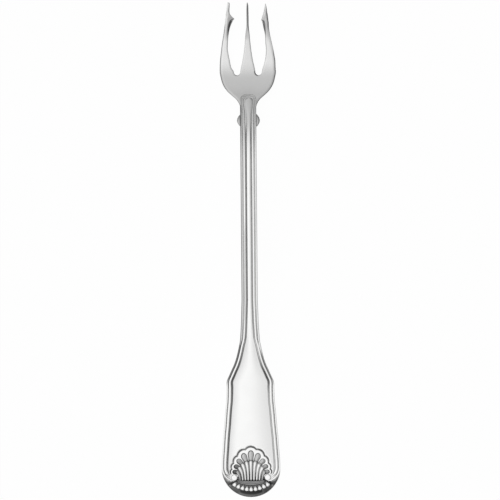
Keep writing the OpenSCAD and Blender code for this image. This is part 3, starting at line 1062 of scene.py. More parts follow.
class Skin:
    """The fork's bare metal as one surface, cut afterwards into its pieces.

    The pieces keep the surface's own normals, so no line shows where one ends.
    """

    def __init__(self) -> None:
        """Starts with no sheets."""
        self.points: list[Numbers] = []
        self.painted_shade: list[Numbers] = []
        self.layers: list[Numbers] = []
        self.quads: dict[str, list[Numbers]] = {}
        self.count = 0

    def add(self, sheet: Sheet) -> None:
        """Adds a sheet: its front, its back and the walls between them.

        Args:
            sheet: The sheet.
        """
        rows, columns = sheet.x.shape
        layers = ((sheet.front, sheet.painted_shade), (sheet.back, sheet.painted_shade * 0))
        for layer, (z, dark) in enumerate(layers):
            self.points.append(np.stack([sheet.x, sheet.y, z], -1).reshape(-1, 3))
            self.painted_shade.append(dark.ravel())
            self.layers.append(np.full(z.size, layer))
        front = self.count + np.arange(rows * columns).reshape(rows, columns)
        back = front + rows * columns
        self.count += 2 * rows * columns
        quads = [self.between(front[:-1], front[1:]), self.between(back[1:], back[:-1])]
        if sheet.left_wall:
            quads.append(self.between(back[:, :1], front[:, :1], down=True))
        if sheet.right_wall:
            quads.append(self.between(front[:, -1:], back[:, -1:], down=True))
        if sheet.top_wall is not None:
            wall = self.between(front[-1:], back[-1:])
            quads.append(wall.reshape(-1, 4)[sheet.top_wall])
        made = np.concatenate([q.reshape(-1, 4) for q in quads])
        self.quads.setdefault(sheet.piece, []).append(made)

    @staticmethod
    def between(low: Numbers, high: Numbers, down: bool = False) -> Numbers:
        """Quads between two sets of rows, or between two columns when down is set."""
        if down:
            return np.stack([low[:-1], high[:-1], high[1:], low[1:]], -1)
        return np.stack([low[:, :-1], low[:, 1:], high[:, 1:], high[:, :-1]], -1)

    def cut(self, materials: dict[str, Material]) -> dict[str, Object]:
        """Cuts the surface into its pieces and closes each one's ends.

        Args:
            materials: The material of each piece, by its name.

        Returns:
            The pieces by name.
        """
        raw = np.concatenate(self.points)
        keys = np.round(raw / WELD).astype(np.int64)
        keys[:, 2] = np.concatenate(self.layers)
        _, first, welded = np.unique(keys, axis=0, return_index=True, return_inverse=True)
        welded = welded.ravel()
        points, painted_shade = raw[first], np.concatenate(self.painted_shade)[first]
        quads = {name: welded[np.concatenate(made)] for name, made in self.quads.items()}
        normals = self.point_normals(points, np.concatenate(list(quads.values())))
        return {
            name: self.piece(name, faces, points, normals, painted_shade, materials[name])
            for name, faces in quads.items()
        }

    @staticmethod
    def point_normals(points: Numbers, quads: Numbers) -> Numbers:
        """The whole surface's normal at each of its points.

        Args:
            points: The surface's points.
            quads: Its faces, as four points each.

        Returns:
            The normals, of length 1.
        """
        corners = points[quads]
        across = np.cross(corners[:, 2] - corners[:, 0], corners[:, 3] - corners[:, 1])
        normals = np.zeros_like(points)
        for k in range(4):
            np.add.at(normals, quads[:, k], across)
        length = np.linalg.norm(normals, axis=1, keepdims=True)
        return normals / np.maximum(length, 1e-30)

    def piece(
        self,
        name: str,
        quads: Numbers,
        points: Numbers,
        normals: Numbers,
        painted_shade: Numbers,
        material: Material,
    ) -> Object:
        """Makes one piece of its share of the surface.

        Args:
            name: The piece's name.
            quads: Its faces, as four points of the surface each.
            points: The surface's points.
            normals: The surface's normals.
            painted_shade: How much shade is painted on the surface at each point.
            material: The piece's material.

        Returns:
            The piece.
        """
        used, local = np.unique(quads, return_inverse=True)
        faces = [self.without_doubles(face) for face in local.reshape(-1, 4).tolist()]
        faces = [face for face in faces if len(face) > 2]
        skin_corners = sum(len(face) for face in faces)
        faces += self.end_caps(faces)
        mesh = bpy.data.meshes.new(name)
        mesh.from_pydata(points[used].tolist(), [], faces)
        mesh.materials.append(material)
        keep_numbers(mesh, PAINTED_SHADE, painted_shade[used])
        mesh.shade_smooth()
        corner_points = np.zeros(len(mesh.loops), np.int32)
        mesh.loops.foreach_get("vertex_index", corner_points)
        corner_normals = normals[used][corner_points]
        for polygon in mesh.polygons:
            if polygon.loop_start >= skin_corners:
                corners = slice(polygon.loop_start, polygon.loop_start + polygon.loop_total)
                corner_normals[corners] = polygon.normal
        mesh.normals_split_custom_set(corner_normals.tolist())
        piece = bpy.data.objects.new(name, mesh)
        bpy.context.scene.collection.objects.link(piece)
        return piece

    @staticmethod
    def without_doubles(face: list[int]) -> list[int]:
        """A face without the corners that repeat the one before."""
        return [p for k, p in enumerate(face) if p != face[k - 1]]

    @staticmethod
    def end_caps(faces: list[list[int]]) -> list[list[int]]:
        """The faces that close every open end of a piece.

        Args:
            faces: The piece's faces.

        Returns:
            One face for each of its open ends.
        """
        edges = {(face[k - 1], face[k]) for face in faces for k in range(len(face))}
        follow = {b: a for a, b in edges if (b, a) not in edges}
        caps = []
        while follow:
            start = next(iter(follow))
            cap, here = [start], follow.pop(start)
            while here != start:
                cap.append(here)
                here = follow.pop(here)
            caps.append(cap)
        return caps


@dataclass
class ForkBody:
    """The bare metal of the fork: its tines, palm, neck, stem, blade and handle end.

    Levels say how much shade is painted on the metal, from 0 to 1. Spans along a tine are shares
    of its length, and insets are distances in from its edge.
    """

    fork: ForkPlan
    shell: ShellPlan
    moat: Moat
    # Width and depth of the rounded edges: the head's outline, its slots, the stem, the back
    head_round_w: float = 0.75 * MM
    head_round_h: float = 0.32 * MM
    slot_round_w: float = 0.45 * MM
    slot_round_h: float = 0.14 * MM
    stem_round_w: float = 0.15 * MM
    back_round_w: float = 1.1 * MM
    back_round_share: float = 0.34
    # Points over a rounded edge, across a tine or a slot, along a tine, and across half a bar
    edge_steps: int = 6
    tine_columns: int = 23
    tine_rows: int = 84
    half_columns: int = 58
    # Share of a tine over which its columns leave those of the palm, and its thin tip
    spread_share: float = 0.15
    tip_taper_l: float = 2.2 * MM
    tip_taper_h: float = 0.3 * MM
    # Where the outer tines' outer edges are less rounded, and by how much
    left_sharp_span: Pair = (0.6, 0.75)
    left_sharp_share: float = 0.7
    right_sharp_span: Span = (0.22, 0.37, 0.58, 0.68)
    right_sharp_share: float = 0.45
    # The bevel under each barb, and the painted shade in it
    barb_bevel_w: float = 0.85 * MM
    barb_bevel_h: float = 0.45 * MM
    barb_climb: Pair = (0.48, 0.7)
    barb_end: Pair = (0.765, 0.735)
    barb_ridge: Pair = (0.66, 0.74)
    barb_level: float = 0.62
    # Painted shade along the head's left edge, and soft painted shade on the outer tines
    left_rim: float = 0.4
    rim_insets: Pair = (0.48 * MM, 0.08 * MM)
    rim_span: Pair = (0.4, 0.1)
    palm_rim_l: float = 3 * MM
    body_span: Span = (0.42, 0.58, 0.77, 0.87)
    left_body_level: float = 0.42
    left_body_insets: Pair = (0.3 * MM, 0.95 * MM)
    right_body_level: float = 0.18
    right_body_insets: Pair = (1.65 * MM, 0.55 * MM)
    right_face_level: float = 0.08
    right_line_level: float = 0.3
    right_line_insets: Pair = (0.42 * MM, 0.07 * MM)
    right_line_span: Span = (0.12, 0.27, 0.5, 0.6)
    # The needle: its ridge, as a share of its width, and the fall and painted shade beside it
    needle_ridge: float = 0.3
    needle_fall: float = 0.2 * MM
    needle_narrow: Pair = (0.54, 0.68)
    needle_level: float = 0.4
    needle_blunt: Pair = (1, 0.74)
    needle_blunt_share: float = 0.3
    needle_flank: Span = (0.42, 0.52, 0.58, 0.7)
    needle_flank_level: float = 0.3
    needle_body: Span = (0, 0.15, 0.4, 0.6)
    needle_body_level: float = 0.07
    # The crescent of painted shade in the right slot: its line, its middle and its ends
    crescent_off: float = 0.1 * MM
    crescent_insets: Pair = (0.286 * MM, 0.066 * MM)
    crescent_turn: float = math.radians(-150)
    crescent_ends: Pair = (math.radians(59.4), math.radians(26.4))
    # The fall round the handle's tip, and how much shade is painted on it in the middle and on
    # either side
    bevel_w: float = 2.2 * MM
    bevel_h: float = 0.85 * MM
    bevel_power: float = 1.4
    tip_level: float = 0.82
    tip_side_levels: Pair = (0.74, 0.58)
    tip_sides: Pair = (4 * MM, 7 * MM)
    # The line round the shell, which is painted dark: its depth, and its width above and on the
    # shell's flanks
    line_h: float = 0.1 * MM
    line_off: float = 0.04 * MM
    line_w: Pair = (0.16 * MM, 0.26 * MM)
    line_flanks: Pair = (2 * MM, 4.5 * MM)
    # The hollow under the fringe and the cuts beside it, with painted shadow in them, and the
    # painted shade on the ground between its teeth
    hollow_h: float = 0.2 * MM
    hollow_level: float = 1.1
    below_off: float = 0.35 * MM
    below_insets: Pair = (1.125 * MM, 0.375 * MM)
    below_ends: Pair = (0.42, 0.3)
    side_cut: Table = ((4.18 * MM, 4.96 * MM), (6 * MM, 3.75 * MM))
    side_cut_w: Pair = (0.27 * MM, 0.36 * MM)
    side_cut_bow: float = 0.1 * MM
    ground_level: float = 0.9
    # The tines' edges: share of the length, then half widths as shares of the palm's
    left_tine_shares: Table = (
        (0, 1, 0.5), (0.06, 1, 0.585), (0.17, 0.987, 0.643), (0.32, 0.945, 0.706),
        (0.43, 0.908, 0.702), (0.55, 0.857, 0.673), (0.65, 0.821, 0.616), (0.735, 0.793, 0.521),
        (0.767, 0.786, 0.463), (0.8, 0.769, 0.553), (0.84, 0.766, 0.622), (0.88, 0.744, 0.639),
        (0.97, 0.722, 0.628), (1, 0.704, 0.634),
    )
    right_tine_shares: Table = (
        (0, 1, 0.5), (0.06, 0.99, 0.535), (0.17, 0.98, 0.613), (0.32, 0.918, 0.653),
        (0.43, 0.86, 0.633), (0.55, 0.8, 0.62), (0.65, 0.763, 0.568), (0.72, 0.758, 0.529),
        (0.765, 0.745, 0.492), (0.825, 0.729, 0.538), (0.88, 0.705, 0.579), (0.95, 0.681, 0.612),
        (1, 0.652, 0.63),
    )
    centre_tine_shares: Table = (
        (0, 0.265), (0.06, 0.242), (0.17, 0.181), (0.32, 0.125), (0.43, 0.096), (0.55, 0.071),
        (0.65, 0.044), (0.8, 0.0405), (0.95, 0.0355), (1, 0.017),
    )
    barb_row: int = 8
    skin: Skin = field(default_factory=Skin)

    def build(self, head: Material, handle: Material) -> None:
        """Makes the eight pieces of the bare metal.

        Args:
            head: Material of the tines, the palm and the neck.
            handle: Material of the rest.
        """
        self.palm()
        self.outer_tine("left_tine", Side.LEFT)
        self.outer_tine("right_tine", Side.RIGHT)
        self.centre_tine()
        fork = self.fork
        self.bar("neck", fork.y_stem_top, fork.y_neck_top, 26)
        self.bar("stem", fork.y_blade_top, fork.y_stem_top, 110)
        self.bar("blade", fork.y_end_top, fork.y_blade_top, 130)
        self.bar("handle_end", fork.y_arc, fork.y_end_top, 36)
        self.half_disc()
        head_pieces = ("left_tine", "centre_tine", "right_tine", "palm", "neck")
        materials = {name: head if name in head_pieces else handle for name in self.skin.quads}
        for name, piece in self.skin.cut(materials).items():
            piece.name = "visual_" + name
            settle(piece, name)

    @property
    def slot_in(self) -> float:
        """Where each slot's bottom starts, out from the middle."""
        return self.fork.palm_hw * self.centre_tine_shares[0][1]

    @property
    def slot_out(self) -> float:
        """Where each slot's bottom ends."""
        return self.fork.palm_hw * self.left_tine_shares[0][2]

    @property
    def slot_r(self) -> float:
        """Radius of each slot's bottom."""
        return (self.slot_out - self.slot_in) / 2

    @property
    def slot_x(self) -> float:
        """Centre of each slot's bottom, out from the middle."""
        return (self.slot_out + self.slot_in) / 2

    def edge_insets(self) -> Numbers:
        """Distances in from a rounded edge, closer together towards it."""
        angles = np.linspace(0, math.pi / 2, self.edge_steps + 1)
        return self.head_round_w * (1 - np.cos(angles))

    def head_columns(self, start: float, end: float) -> Numbers:
        """Places across a tine's root, between its two edges.

        Args:
            start: Place of its left edge.
            end: Place of its right edge.

        Returns:
            The places, closer together near the edges.
        """
        insets = self.edge_insets()
        count = self.tine_columns - 2 * len(insets) + 2
        inner = np.linspace(start + insets[-1], end - insets[-1], count)
        return np.concatenate([start + insets[:-1], inner, (end - insets[:-1])[::-1]])

    def palm_columns(self) -> tuple[Numbers, Numbers]:
        """Places across the palm's top, and whether each span of them is the bottom of a slot.

        Returns:
            The places, and the answer for each span between two of them.
        """
        turn = np.linspace(0, math.pi, self.tine_columns + 2)
        outer = self.head_columns(self.slot_out, self.fork.palm_hw)
        middle = self.head_columns(-self.slot_in, self.slot_in)
        right = np.concatenate([self.slot_x - np.cos(turn)[1:-1] * self.slot_r, outer])
        places = np.concatenate([-right[::-1], middle, right])
        spans = np.abs((places[1:] + places[:-1]) / 2)
        return places, (spans > self.slot_in) & (spans < self.slot_out)

    def slot_dip(self, places: Numbers) -> Numbers:
        """How far the palm's top edge dips round the bottom of a slot."""
        return np.sqrt(np.maximum(self.slot_r**2 - (np.abs(places) - self.slot_x) ** 2, 0))

    def head_round(self, y: Numbers) -> tuple[Numbers, Numbers]:
        """Width and depth of the front's rounded edge, which is sharper on the stem."""
        share = step(y, self.fork.y_stem_top, self.fork.y_neck_top)
        width = mix(self.stem_round_w, self.head_round_w, share)
        return width, mix(self.stem_round_w, self.head_round_h, share)

    def back_of(self, y: Numbers, inset: Numbers, half_w: Numbers) -> Numbers:
        """Height of the back.

        Args:
            y: Places along the fork.
            inset: Distances in from the nearest edge.
            half_w: Half width of the metal there.

        Returns:
            The height at each place.
        """
        width = np.minimum(self.back_round_w, half_w)
        depth = self.fork.thickness(y) * self.back_round_share * width / self.back_round_w
        return np.maximum(self.fork.back_z(y) + edge_drop(inset, width, depth), 0)

    def palm(self) -> None:
        """Adds the palm, whose top edge dips round the root of each slot."""
        fork = self.fork
        places, in_slot = self.palm_columns()
        top = fork.y_root - self.slot_dip(places)
        share = 1 - (1 - np.linspace(0, 1, 31)) ** 1.5
        y = mix(fork.y_neck_top, top[None, :], share[:, None])
        x = places[None, :] * fork.body_hw(y) / fork.body_hw(top)[None, :]
        side_inset = (fork.body_hw(y) - np.abs(x)) * self.side_lean(y)
        slot_inset = np.hypot(np.abs(x) - self.slot_x, y - fork.y_root) - self.slot_r
        slot_inset = np.maximum(slot_inset, 0)
        drop = edge_drop(side_inset, *self.head_round(y))
        drop = drop + edge_drop(slot_inset, self.slot_round_w, self.slot_round_h)
        back = self.back_of(y, np.minimum(side_inset, slot_inset), fork.body_hw(y))
        # A line of painted shade along the palm's left edge
        rim = self.left_rim * step(side_inset, *self.rim_insets) * (x < 0)
        rim = rim * step(y, fork.y_neck_top, fork.y_neck_top + self.palm_rim_l)
        painted_shade = np.maximum(self.slot_shade(x, y), rim)
        self.skin.add(Sheet("palm", x, y, fork.front_z(y) - drop, back, painted_shade, top_wall=in_slot))

    def slot_shade(self, x: Numbers, y: Numbers) -> Numbers:
        """The painted shade on the inner side of the right slot's bottom.

        Args:
            x: Places across the fork.
            y: Places along the fork.

        Returns:
            The level at each place, which is 0 away from the crescent.
        """
        turn = np.arctan2(y - self.fork.y_root, x - self.slot_x)
        turn = np.where(turn > 0, turn - 2 * math.pi, turn)
        radius = np.hypot(x - self.slot_x, y - self.fork.y_root)
        off = np.where(y > self.fork.y_root, self.slot_x - x, radius) - self.slot_r
        near = step(np.abs(off - self.crescent_off), *self.crescent_insets)
        return near * step(np.abs(turn - self.crescent_turn), *self.crescent_ends)

    def side_lean(self, y: Numbers) -> Numbers:
        """Turns a distance across the fork into one square to the body's edge."""
        return 1 / np.sqrt(1 + slope_of(self.fork.body_hw, y, 0.05 * MM) ** 2)

    def tine(
        self,
        name: str,
        length: float,
        left: Edge,
        right: Edge,
        extra_rows: Sequence[float] = (),
        side: Side | None = None,
    ) -> None:
        """Adds a tine between two edges.

        Args:
            name: The piece's name.
            length: The tine's length.
            left: Its left edge, from the share of its length.
            right: Its right edge.
            extra_rows: Shares of its length that need a row of their own.
            side: The side of the fork that the tine is on, if it isn't the needle.
        """
        fork = self.fork
        shares = np.union1d(np.linspace(0, 1, self.tine_rows), np.asarray(extra_rows))
        lo, hi = left(shares), right(shares)
        columns = self.head_columns(lo[0], hi[0])
        root = (columns - lo[0]) / (hi[0] - lo[0])
        even = (1 - np.cos(np.linspace(0, math.pi, len(root)))) / 2
        share = shares[:, None]
        across = mix(root[None, :], even[None, :], step(share, 0, self.spread_share))
        x = mix(lo[:, None], hi[:, None], across)
        y = np.broadcast_to(fork.y_root + length * share, x.shape)
        run = np.gradient(y[:, 0])
        lean_lo, lean_hi = (1 / np.sqrt(1 + (np.gradient(e) / run) ** 2) for e in (lo, hi))
        half = ((hi - lo) / 2)[:, None]
        inset_lo = (x - lo[:, None]) * lean_lo[:, None]
        inset_hi = (hi[:, None] - x) * lean_hi[:, None]
        fall_lo = self.edge_round(inset_lo, half, side is Side.LEFT)
        fall_hi = self.edge_round(inset_hi, half, side is Side.RIGHT)
        if side is Side.LEFT:
            fall_lo = fall_lo * (1 - self.left_sharp_share * step(share, *self.left_sharp_span))
        if side is Side.RIGHT:
            sharp = plateau(share, *self.right_sharp_span)
            fall_hi = fall_hi * (1 - self.right_sharp_share * sharp)
        if side is None:
            fall, painted_shade = self.needle_relief(share, across)
            painted_shade = np.maximum(painted_shade, self.slot_shade(x, y))
        else:
            bevel = self.barb_bevel(share, inset_hi if side is Side.LEFT else inset_lo)
            fall = self.barb_bevel_h * bevel
            painted_shade = self.tine_shade(share, inset_lo, inset_hi, side, bevel)
        near_tip = np.clip(1 - length * (1 - share) / self.tip_taper_l, 0, 1)
        taper = self.tip_taper_h * near_tip**2
        front = fork.front_z(y) - fall_lo - fall_hi - fall - taper
        back = self.back_of(y, np.minimum(inset_lo, inset_hi), half) + taper / 2
        wall = np.ones(x.shape[1] - 1, bool)
        self.skin.add(Sheet(name, x, y, front, back, painted_shade, top_wall=wall))

    def needle_relief(self, share: Numbers, across: Numbers) -> tuple[Numbers, Numbers]:
        """How far the needle falls to the right of its ridge, and the shade painted on it.

        Args:
            share: Share of the needle's length.
            across: Share of the way across it from its left edge.

        Returns:
            The fall of the front, and the level of painted shade there.
        """
        off_ridge = np.clip((across - self.needle_ridge) / (1 - self.needle_ridge), 0, 1)
        narrow = step(share, *self.needle_narrow)
        blunt = mix(self.needle_blunt_share, 1, step(share, *self.needle_blunt))
        shade = self.needle_level * smooth(3 * off_ridge) * narrow * blunt
        flank = plateau(share, *self.needle_flank) * (1.3 - across)
        body = plateau(share, *self.needle_body) + 0 * across
        levels = (shade, self.needle_flank_level * flank, self.needle_body_level * body)
        return self.needle_fall * off_ridge * narrow, np.max(levels, 0)

    def edge_round(self, inset: Numbers, half: Numbers, is_outer: bool) -> Numbers:
        """How far a tine's edge is rounded off: less along a slot than on the outside.

        Args:
            inset: Distance in from the edge.
            half: Half width of the tine.
            is_outer: Whether the edge is part of the fork's outline.

        Returns:
            The fall of the front.
        """
        full_w = self.head_round_w if is_outer else self.slot_round_w
        full_h = self.head_round_h if is_outer else self.slot_round_h
        width = np.minimum(full_w, half)
        return edge_drop(inset, width, full_h * width / full_w)

    def barb_bevel(self, share: Numbers, inset: Numbers) -> Numbers:
        """How far the inner edge is filed away under a barb, as a share of its depth."""
        climb = self.fork.share_between(share, *self.barb_climb) * step(share, *self.barb_end)
        near = np.clip(1 - inset / (self.barb_bevel_w * mix(0.35, 1, climb)), 0, 1)
        return smooth(climb) * near

    def tine_shade(
        self,
        share: Numbers,
        inset_lo: Numbers,
        inset_hi: Numbers,
        side: Side | None,
        bevel: Numbers,
    ) -> Numbers:
        """The painted shade on an outer tine: soft inside its barb, and along the fork's left edge.

        Args:
            share: Share of the tine's length.
            inset_lo: Distance in from the left edge.
            inset_hi: Distance in from the right edge.
            side: The side of the fork that the tine is on.
            bevel: How far the barb's bevel has fallen, as a share of its depth.

        Returns:
            The level of painted shade there.
        """
        is_left = side is Side.LEFT
        inner, outer = (inset_hi, inset_lo) if is_left else (inset_lo, inset_hi)
        ridge = inner - self.barb_bevel_w * step(share, *self.barb_ridge)
        dark = self.barb_level * smooth(bevel * 2) * (1 - 0.9 * step(ridge, 0, -0.3 * MM))
        body = plateau(share, *self.body_span)
        if is_left:
            soft = self.left_body_level * step(outer, *self.left_body_insets) * body
            rim = self.left_rim * step(outer, *self.rim_insets) * step(share, *self.rim_span)
            return np.max([dark, soft, rim], 0)
        soft = self.right_body_level * step(inner, *self.right_body_insets)
        line = step(inner, *self.right_line_insets) * plateau(share, *self.right_line_span)
        soft = (soft + self.right_face_level) * body
        return np.max([dark, soft, self.right_line_level * line], 0)

    def outer_tine(self, name: str, side: Side) -> None:
        """Adds the left or the right tine, which has a barb on its inner edge.

        Args:
            name: The piece's name.
            side: The side that it is on.
        """
        fork = self.fork
        is_left = side is Side.LEFT
        table = self.left_tine_shares if is_left else self.right_tine_shares
        length = (fork.y_tip if is_left else fork.y_right_tip) - fork.y_root
        lower, upper = table[: self.barb_row + 1], table[self.barb_row :]
        sign = side.value * fork.palm_hw

        def outer(share: Numbers) -> Numbers:
            """The edge that the fork's outline follows."""
            return sign * eased(table, share, 1)

        def inner(share: Numbers) -> Numbers:
            """The edge with the barb, which is sharp at its point."""
            below = eased(lower, share, 2, first_slope=0)
            return sign * np.where(share < upper[0][0], below, eased(upper, share, 2))

        edges = (outer, inner) if is_left else (inner, outer)
        rows = [row[0] for row in table[self.barb_row - 1 : self.barb_row + 2]]
        self.tine(name, length, *edges, extra_rows=rows, side=side)

    def centre_tine(self) -> None:
        """Adds the middle tine, a long needle."""
        fork = self.fork

        def edge(share: Numbers) -> Numbers:
            """Half width of the needle."""
            return fork.palm_hw * eased(self.centre_tine_shares, share, first_slope=0)

        self.tine("centre_tine", fork.y_tip - fork.y_root, lambda s: -edge(s), edge)

    def bar_insets(self) -> Numbers:
        """Distances in from the body's edge, closest together beside the border."""
        fork = self.fork
        edge = np.linspace(0, 1, 5) ** 2 * self.stem_round_w
        moat = fork.border_w + np.linspace(-1, 3, 14) * self.moat.half_w
        return np.concatenate([edge, [0.3 * fork.border_w, 0.7 * fork.border_w], moat])

    def bar_columns(self, half_w: Numbers, stretch: Numbers) -> Numbers:
        """Places across the body for a half width at each row, from its left to its right.

        Args:
            half_w: Half width of the body at each row.
            stretch: How much wider the border's section is there.

        Returns:
            A row of places for each of them.
        """
        insets = self.bar_insets()
        near = half_w[:, None] - insets[None, :] * stretch[:, None]
        inner_count = self.half_columns - len(insets)
        shares = np.linspace(1, 0, inner_count + 1)[1:]
        far = near[:, -1:] * shares[None, :]
        half = np.concatenate([near, far], 1)
        return np.concatenate([-half, half[:, -2::-1]], 1)

    def bar(self, name: str, low: float, high: float, rows: int) -> None:
        """Adds a stretch of the neck, the stem or the handle between two stations.

        Args:
            name: The piece's name.
            low: Its lower end.
            high: Its upper end.
            rows: Spans along it.
        """
        fork = self.fork
        y_row = np.linspace(low, high, rows + 1)
        half_w = fork.body_hw(y_row)
        x = self.bar_columns(half_w, fork.line_stretch(y_row))
        if name == "neck":
            places, _ = self.palm_columns()
            shares = places / fork.body_hw(fork.y_root - self.slot_dip(places))
            climbed = step(y_row, low, high)[:, None]
            x = mix(x, shares[None, :] * half_w[:, None], climbed)
        y = np.broadcast_to(y_row[:, None], x.shape)
        inset = (half_w[:, None] - np.abs(x)) * self.side_lean(y)
        lined = fork.line_hw(y_row) - np.abs(x.T)
        border_inset = (lined / fork.line_stretch(y_row) / fork.border_share(y_row)).T
        self.skin.add(self.bar_sheet(name, x, y, inset, border_inset, half_w[:, None]))

    def bar_sheet(
        self,
        name: str,
        x: Numbers,
        y: Numbers,
        inset: Numbers,
        border_inset: Numbers,
        half_w: Numbers,
    ) -> Sheet:
        """The front and back of a stretch of the body.

        Args:
            name: The piece's name.
            x: Places across the fork.
            y: Places along the fork.
            inset: Distances in from the body's edge.
            border_inset: Distances in from the border's outer line.
            half_w: Half width at each place.

        Returns:
            The finished sheet.
        """
        fork = self.fork
        drop = edge_drop(inset, *self.head_round(y))
        drop = drop + fork.crown(x, np.maximum(y, fork.y_arc))
        fall, painted_shade = self.moat.cut(x, y, border_inset)
        hollow_fall, end_shade = self.end_hollows(x, y)
        front = fork.front_z(y) - drop - fall - hollow_fall
        back = self.back_of(y, inset, half_w)
        dark = np.max([painted_shade, end_shade, fork.left_field_shade(x, y, border_inset)], 0)
        return Sheet(name, x, y, front, back, dark)

    def end_hollows(self, x: Numbers, y: Numbers) -> tuple[Numbers, Numbers]:
        """The hollows on the handle's end, round the shell, beside the fringe and under it, and the
        painted shade and shadow in them and round the tip.

        Args:
            x: Places across the fork.
            y: Places along the fork.

        Returns:
            How deep the hollows are, and the level of painted shade and shadow there.
        """
        fork, shell = self.fork, self.shell
        radius = np.hypot(x, y - fork.y_arc)
        low = np.arcsin(np.clip((fork.y_arc - y) / np.maximum(radius, WELD), 0, 1))
        reach = self.bevel_reach(low)
        rim = np.clip(1 - (fork.handle_r - radius) / reach, 0, 1) * (y < fork.y_arc)
        bevel = self.bevel_h * np.minimum(reach / self.bevel_w, 1) * rim**self.bevel_power
        up = (y - fork.y_end) / math.cos(fork.end_slope)
        ray = np.arctan2(up - shell.hinge_up, x)
        off = np.hypot(x, up - shell.hinge_up) - shell.rim_r(ray)
        line_w = mix(*self.line_w, step(np.abs(x), *self.line_flanks))
        outside = step(np.abs(off - self.line_off), 1.5 * line_w, 0.5 * line_w)
        outside = outside * (ray > shell.rise_angle) * (ray < math.pi - shell.rise_angle)
        swing = np.abs(np.arctan2(x, shell.band_up - up))
        past_fringe = np.hypot(x, up - shell.band_up) - shell.fringe_end
        below = step(np.abs(past_fringe - self.below_off), *self.below_insets)
        hollow_and_shade = np.maximum(below * step(swing, *self.below_ends), self.side_hollow(x, up))
        ground = (past_fringe < 0) & (swing < shell.fringe_angle / 2) & (up < shell.hinge_up)
        sides = np.where(x < 0, *self.tip_side_levels)
        tip = mix(self.tip_level, sides, step(np.abs(x), *self.tip_sides)) * smooth(rim * 4)
        # Painted shade on the line round the shell, painted shadow under and beside the fringe, and
        # painted shade between the teeth and round the tip
        levels = (outside, self.hollow_level * hollow_and_shade, self.ground_level * ground, tip)
        return bevel + self.line_h * outside + self.hollow_h * hollow_and_shade, np.max(levels, 0)

    def bevel_reach(self, low: Numbers) -> Numbers:
        """How far in from the rim the tip's bevel reaches, at an angle below the horizontal."""
        shell = self.shell
        share = low / shell.outer_curl_angle
        curl = np.minimum(shell.outer_curl * share**2 + 0.02 * MM, shell.outer_curl)
        return mix(curl, self.bevel_w, step(share, 1, 1.2))

    def side_hollow(self, x: Numbers, up: Numbers) -> Numbers:
        """The curved cut between each ball and the fringe.

        Args:
            x: Places across the handle's end.
            up: Places up its face.

        Returns:
            Its depth at each place, as a share of the deepest.
        """
        half_w = np.where(x < 0, *self.side_cut_w)
        start, end = np.array(self.side_cut)
        off_x, off_up, line = np.abs(x) - start[0], up - start[1], end - start
        share = np.clip((off_x * line[0] + off_up * line[1]) / (line @ line), 0, 1)
        bow = self.side_cut_bow * 4 * share * (1 - share)
        off = np.hypot(off_x - share * line[0] - bow, off_up - share * line[1] - bow)
        return step(off, 1.6 * half_w, 0.6 * half_w)

    def half_disc(self) -> None:
        """Adds the round tip of the handle, whose columns run out from its centre."""
        fork = self.fork
        turn = np.linspace(math.pi, 2 * math.pi, 181)[:, None]
        middle = self.bar_columns(np.array([fork.handle_r]), np.array([1.0]))[0]
        radius = middle[self.half_columns - 1 :][None, :]
        x, y = radius * np.cos(turn), fork.y_arc + radius * np.sin(turn)
        inset = fork.handle_r - radius + 0 * x
        sheet = self.bar_sheet("handle_end", x, y, inset, inset, fork.handle_r)
        sheet.left_wall = False
        self.skin.add(sheet)


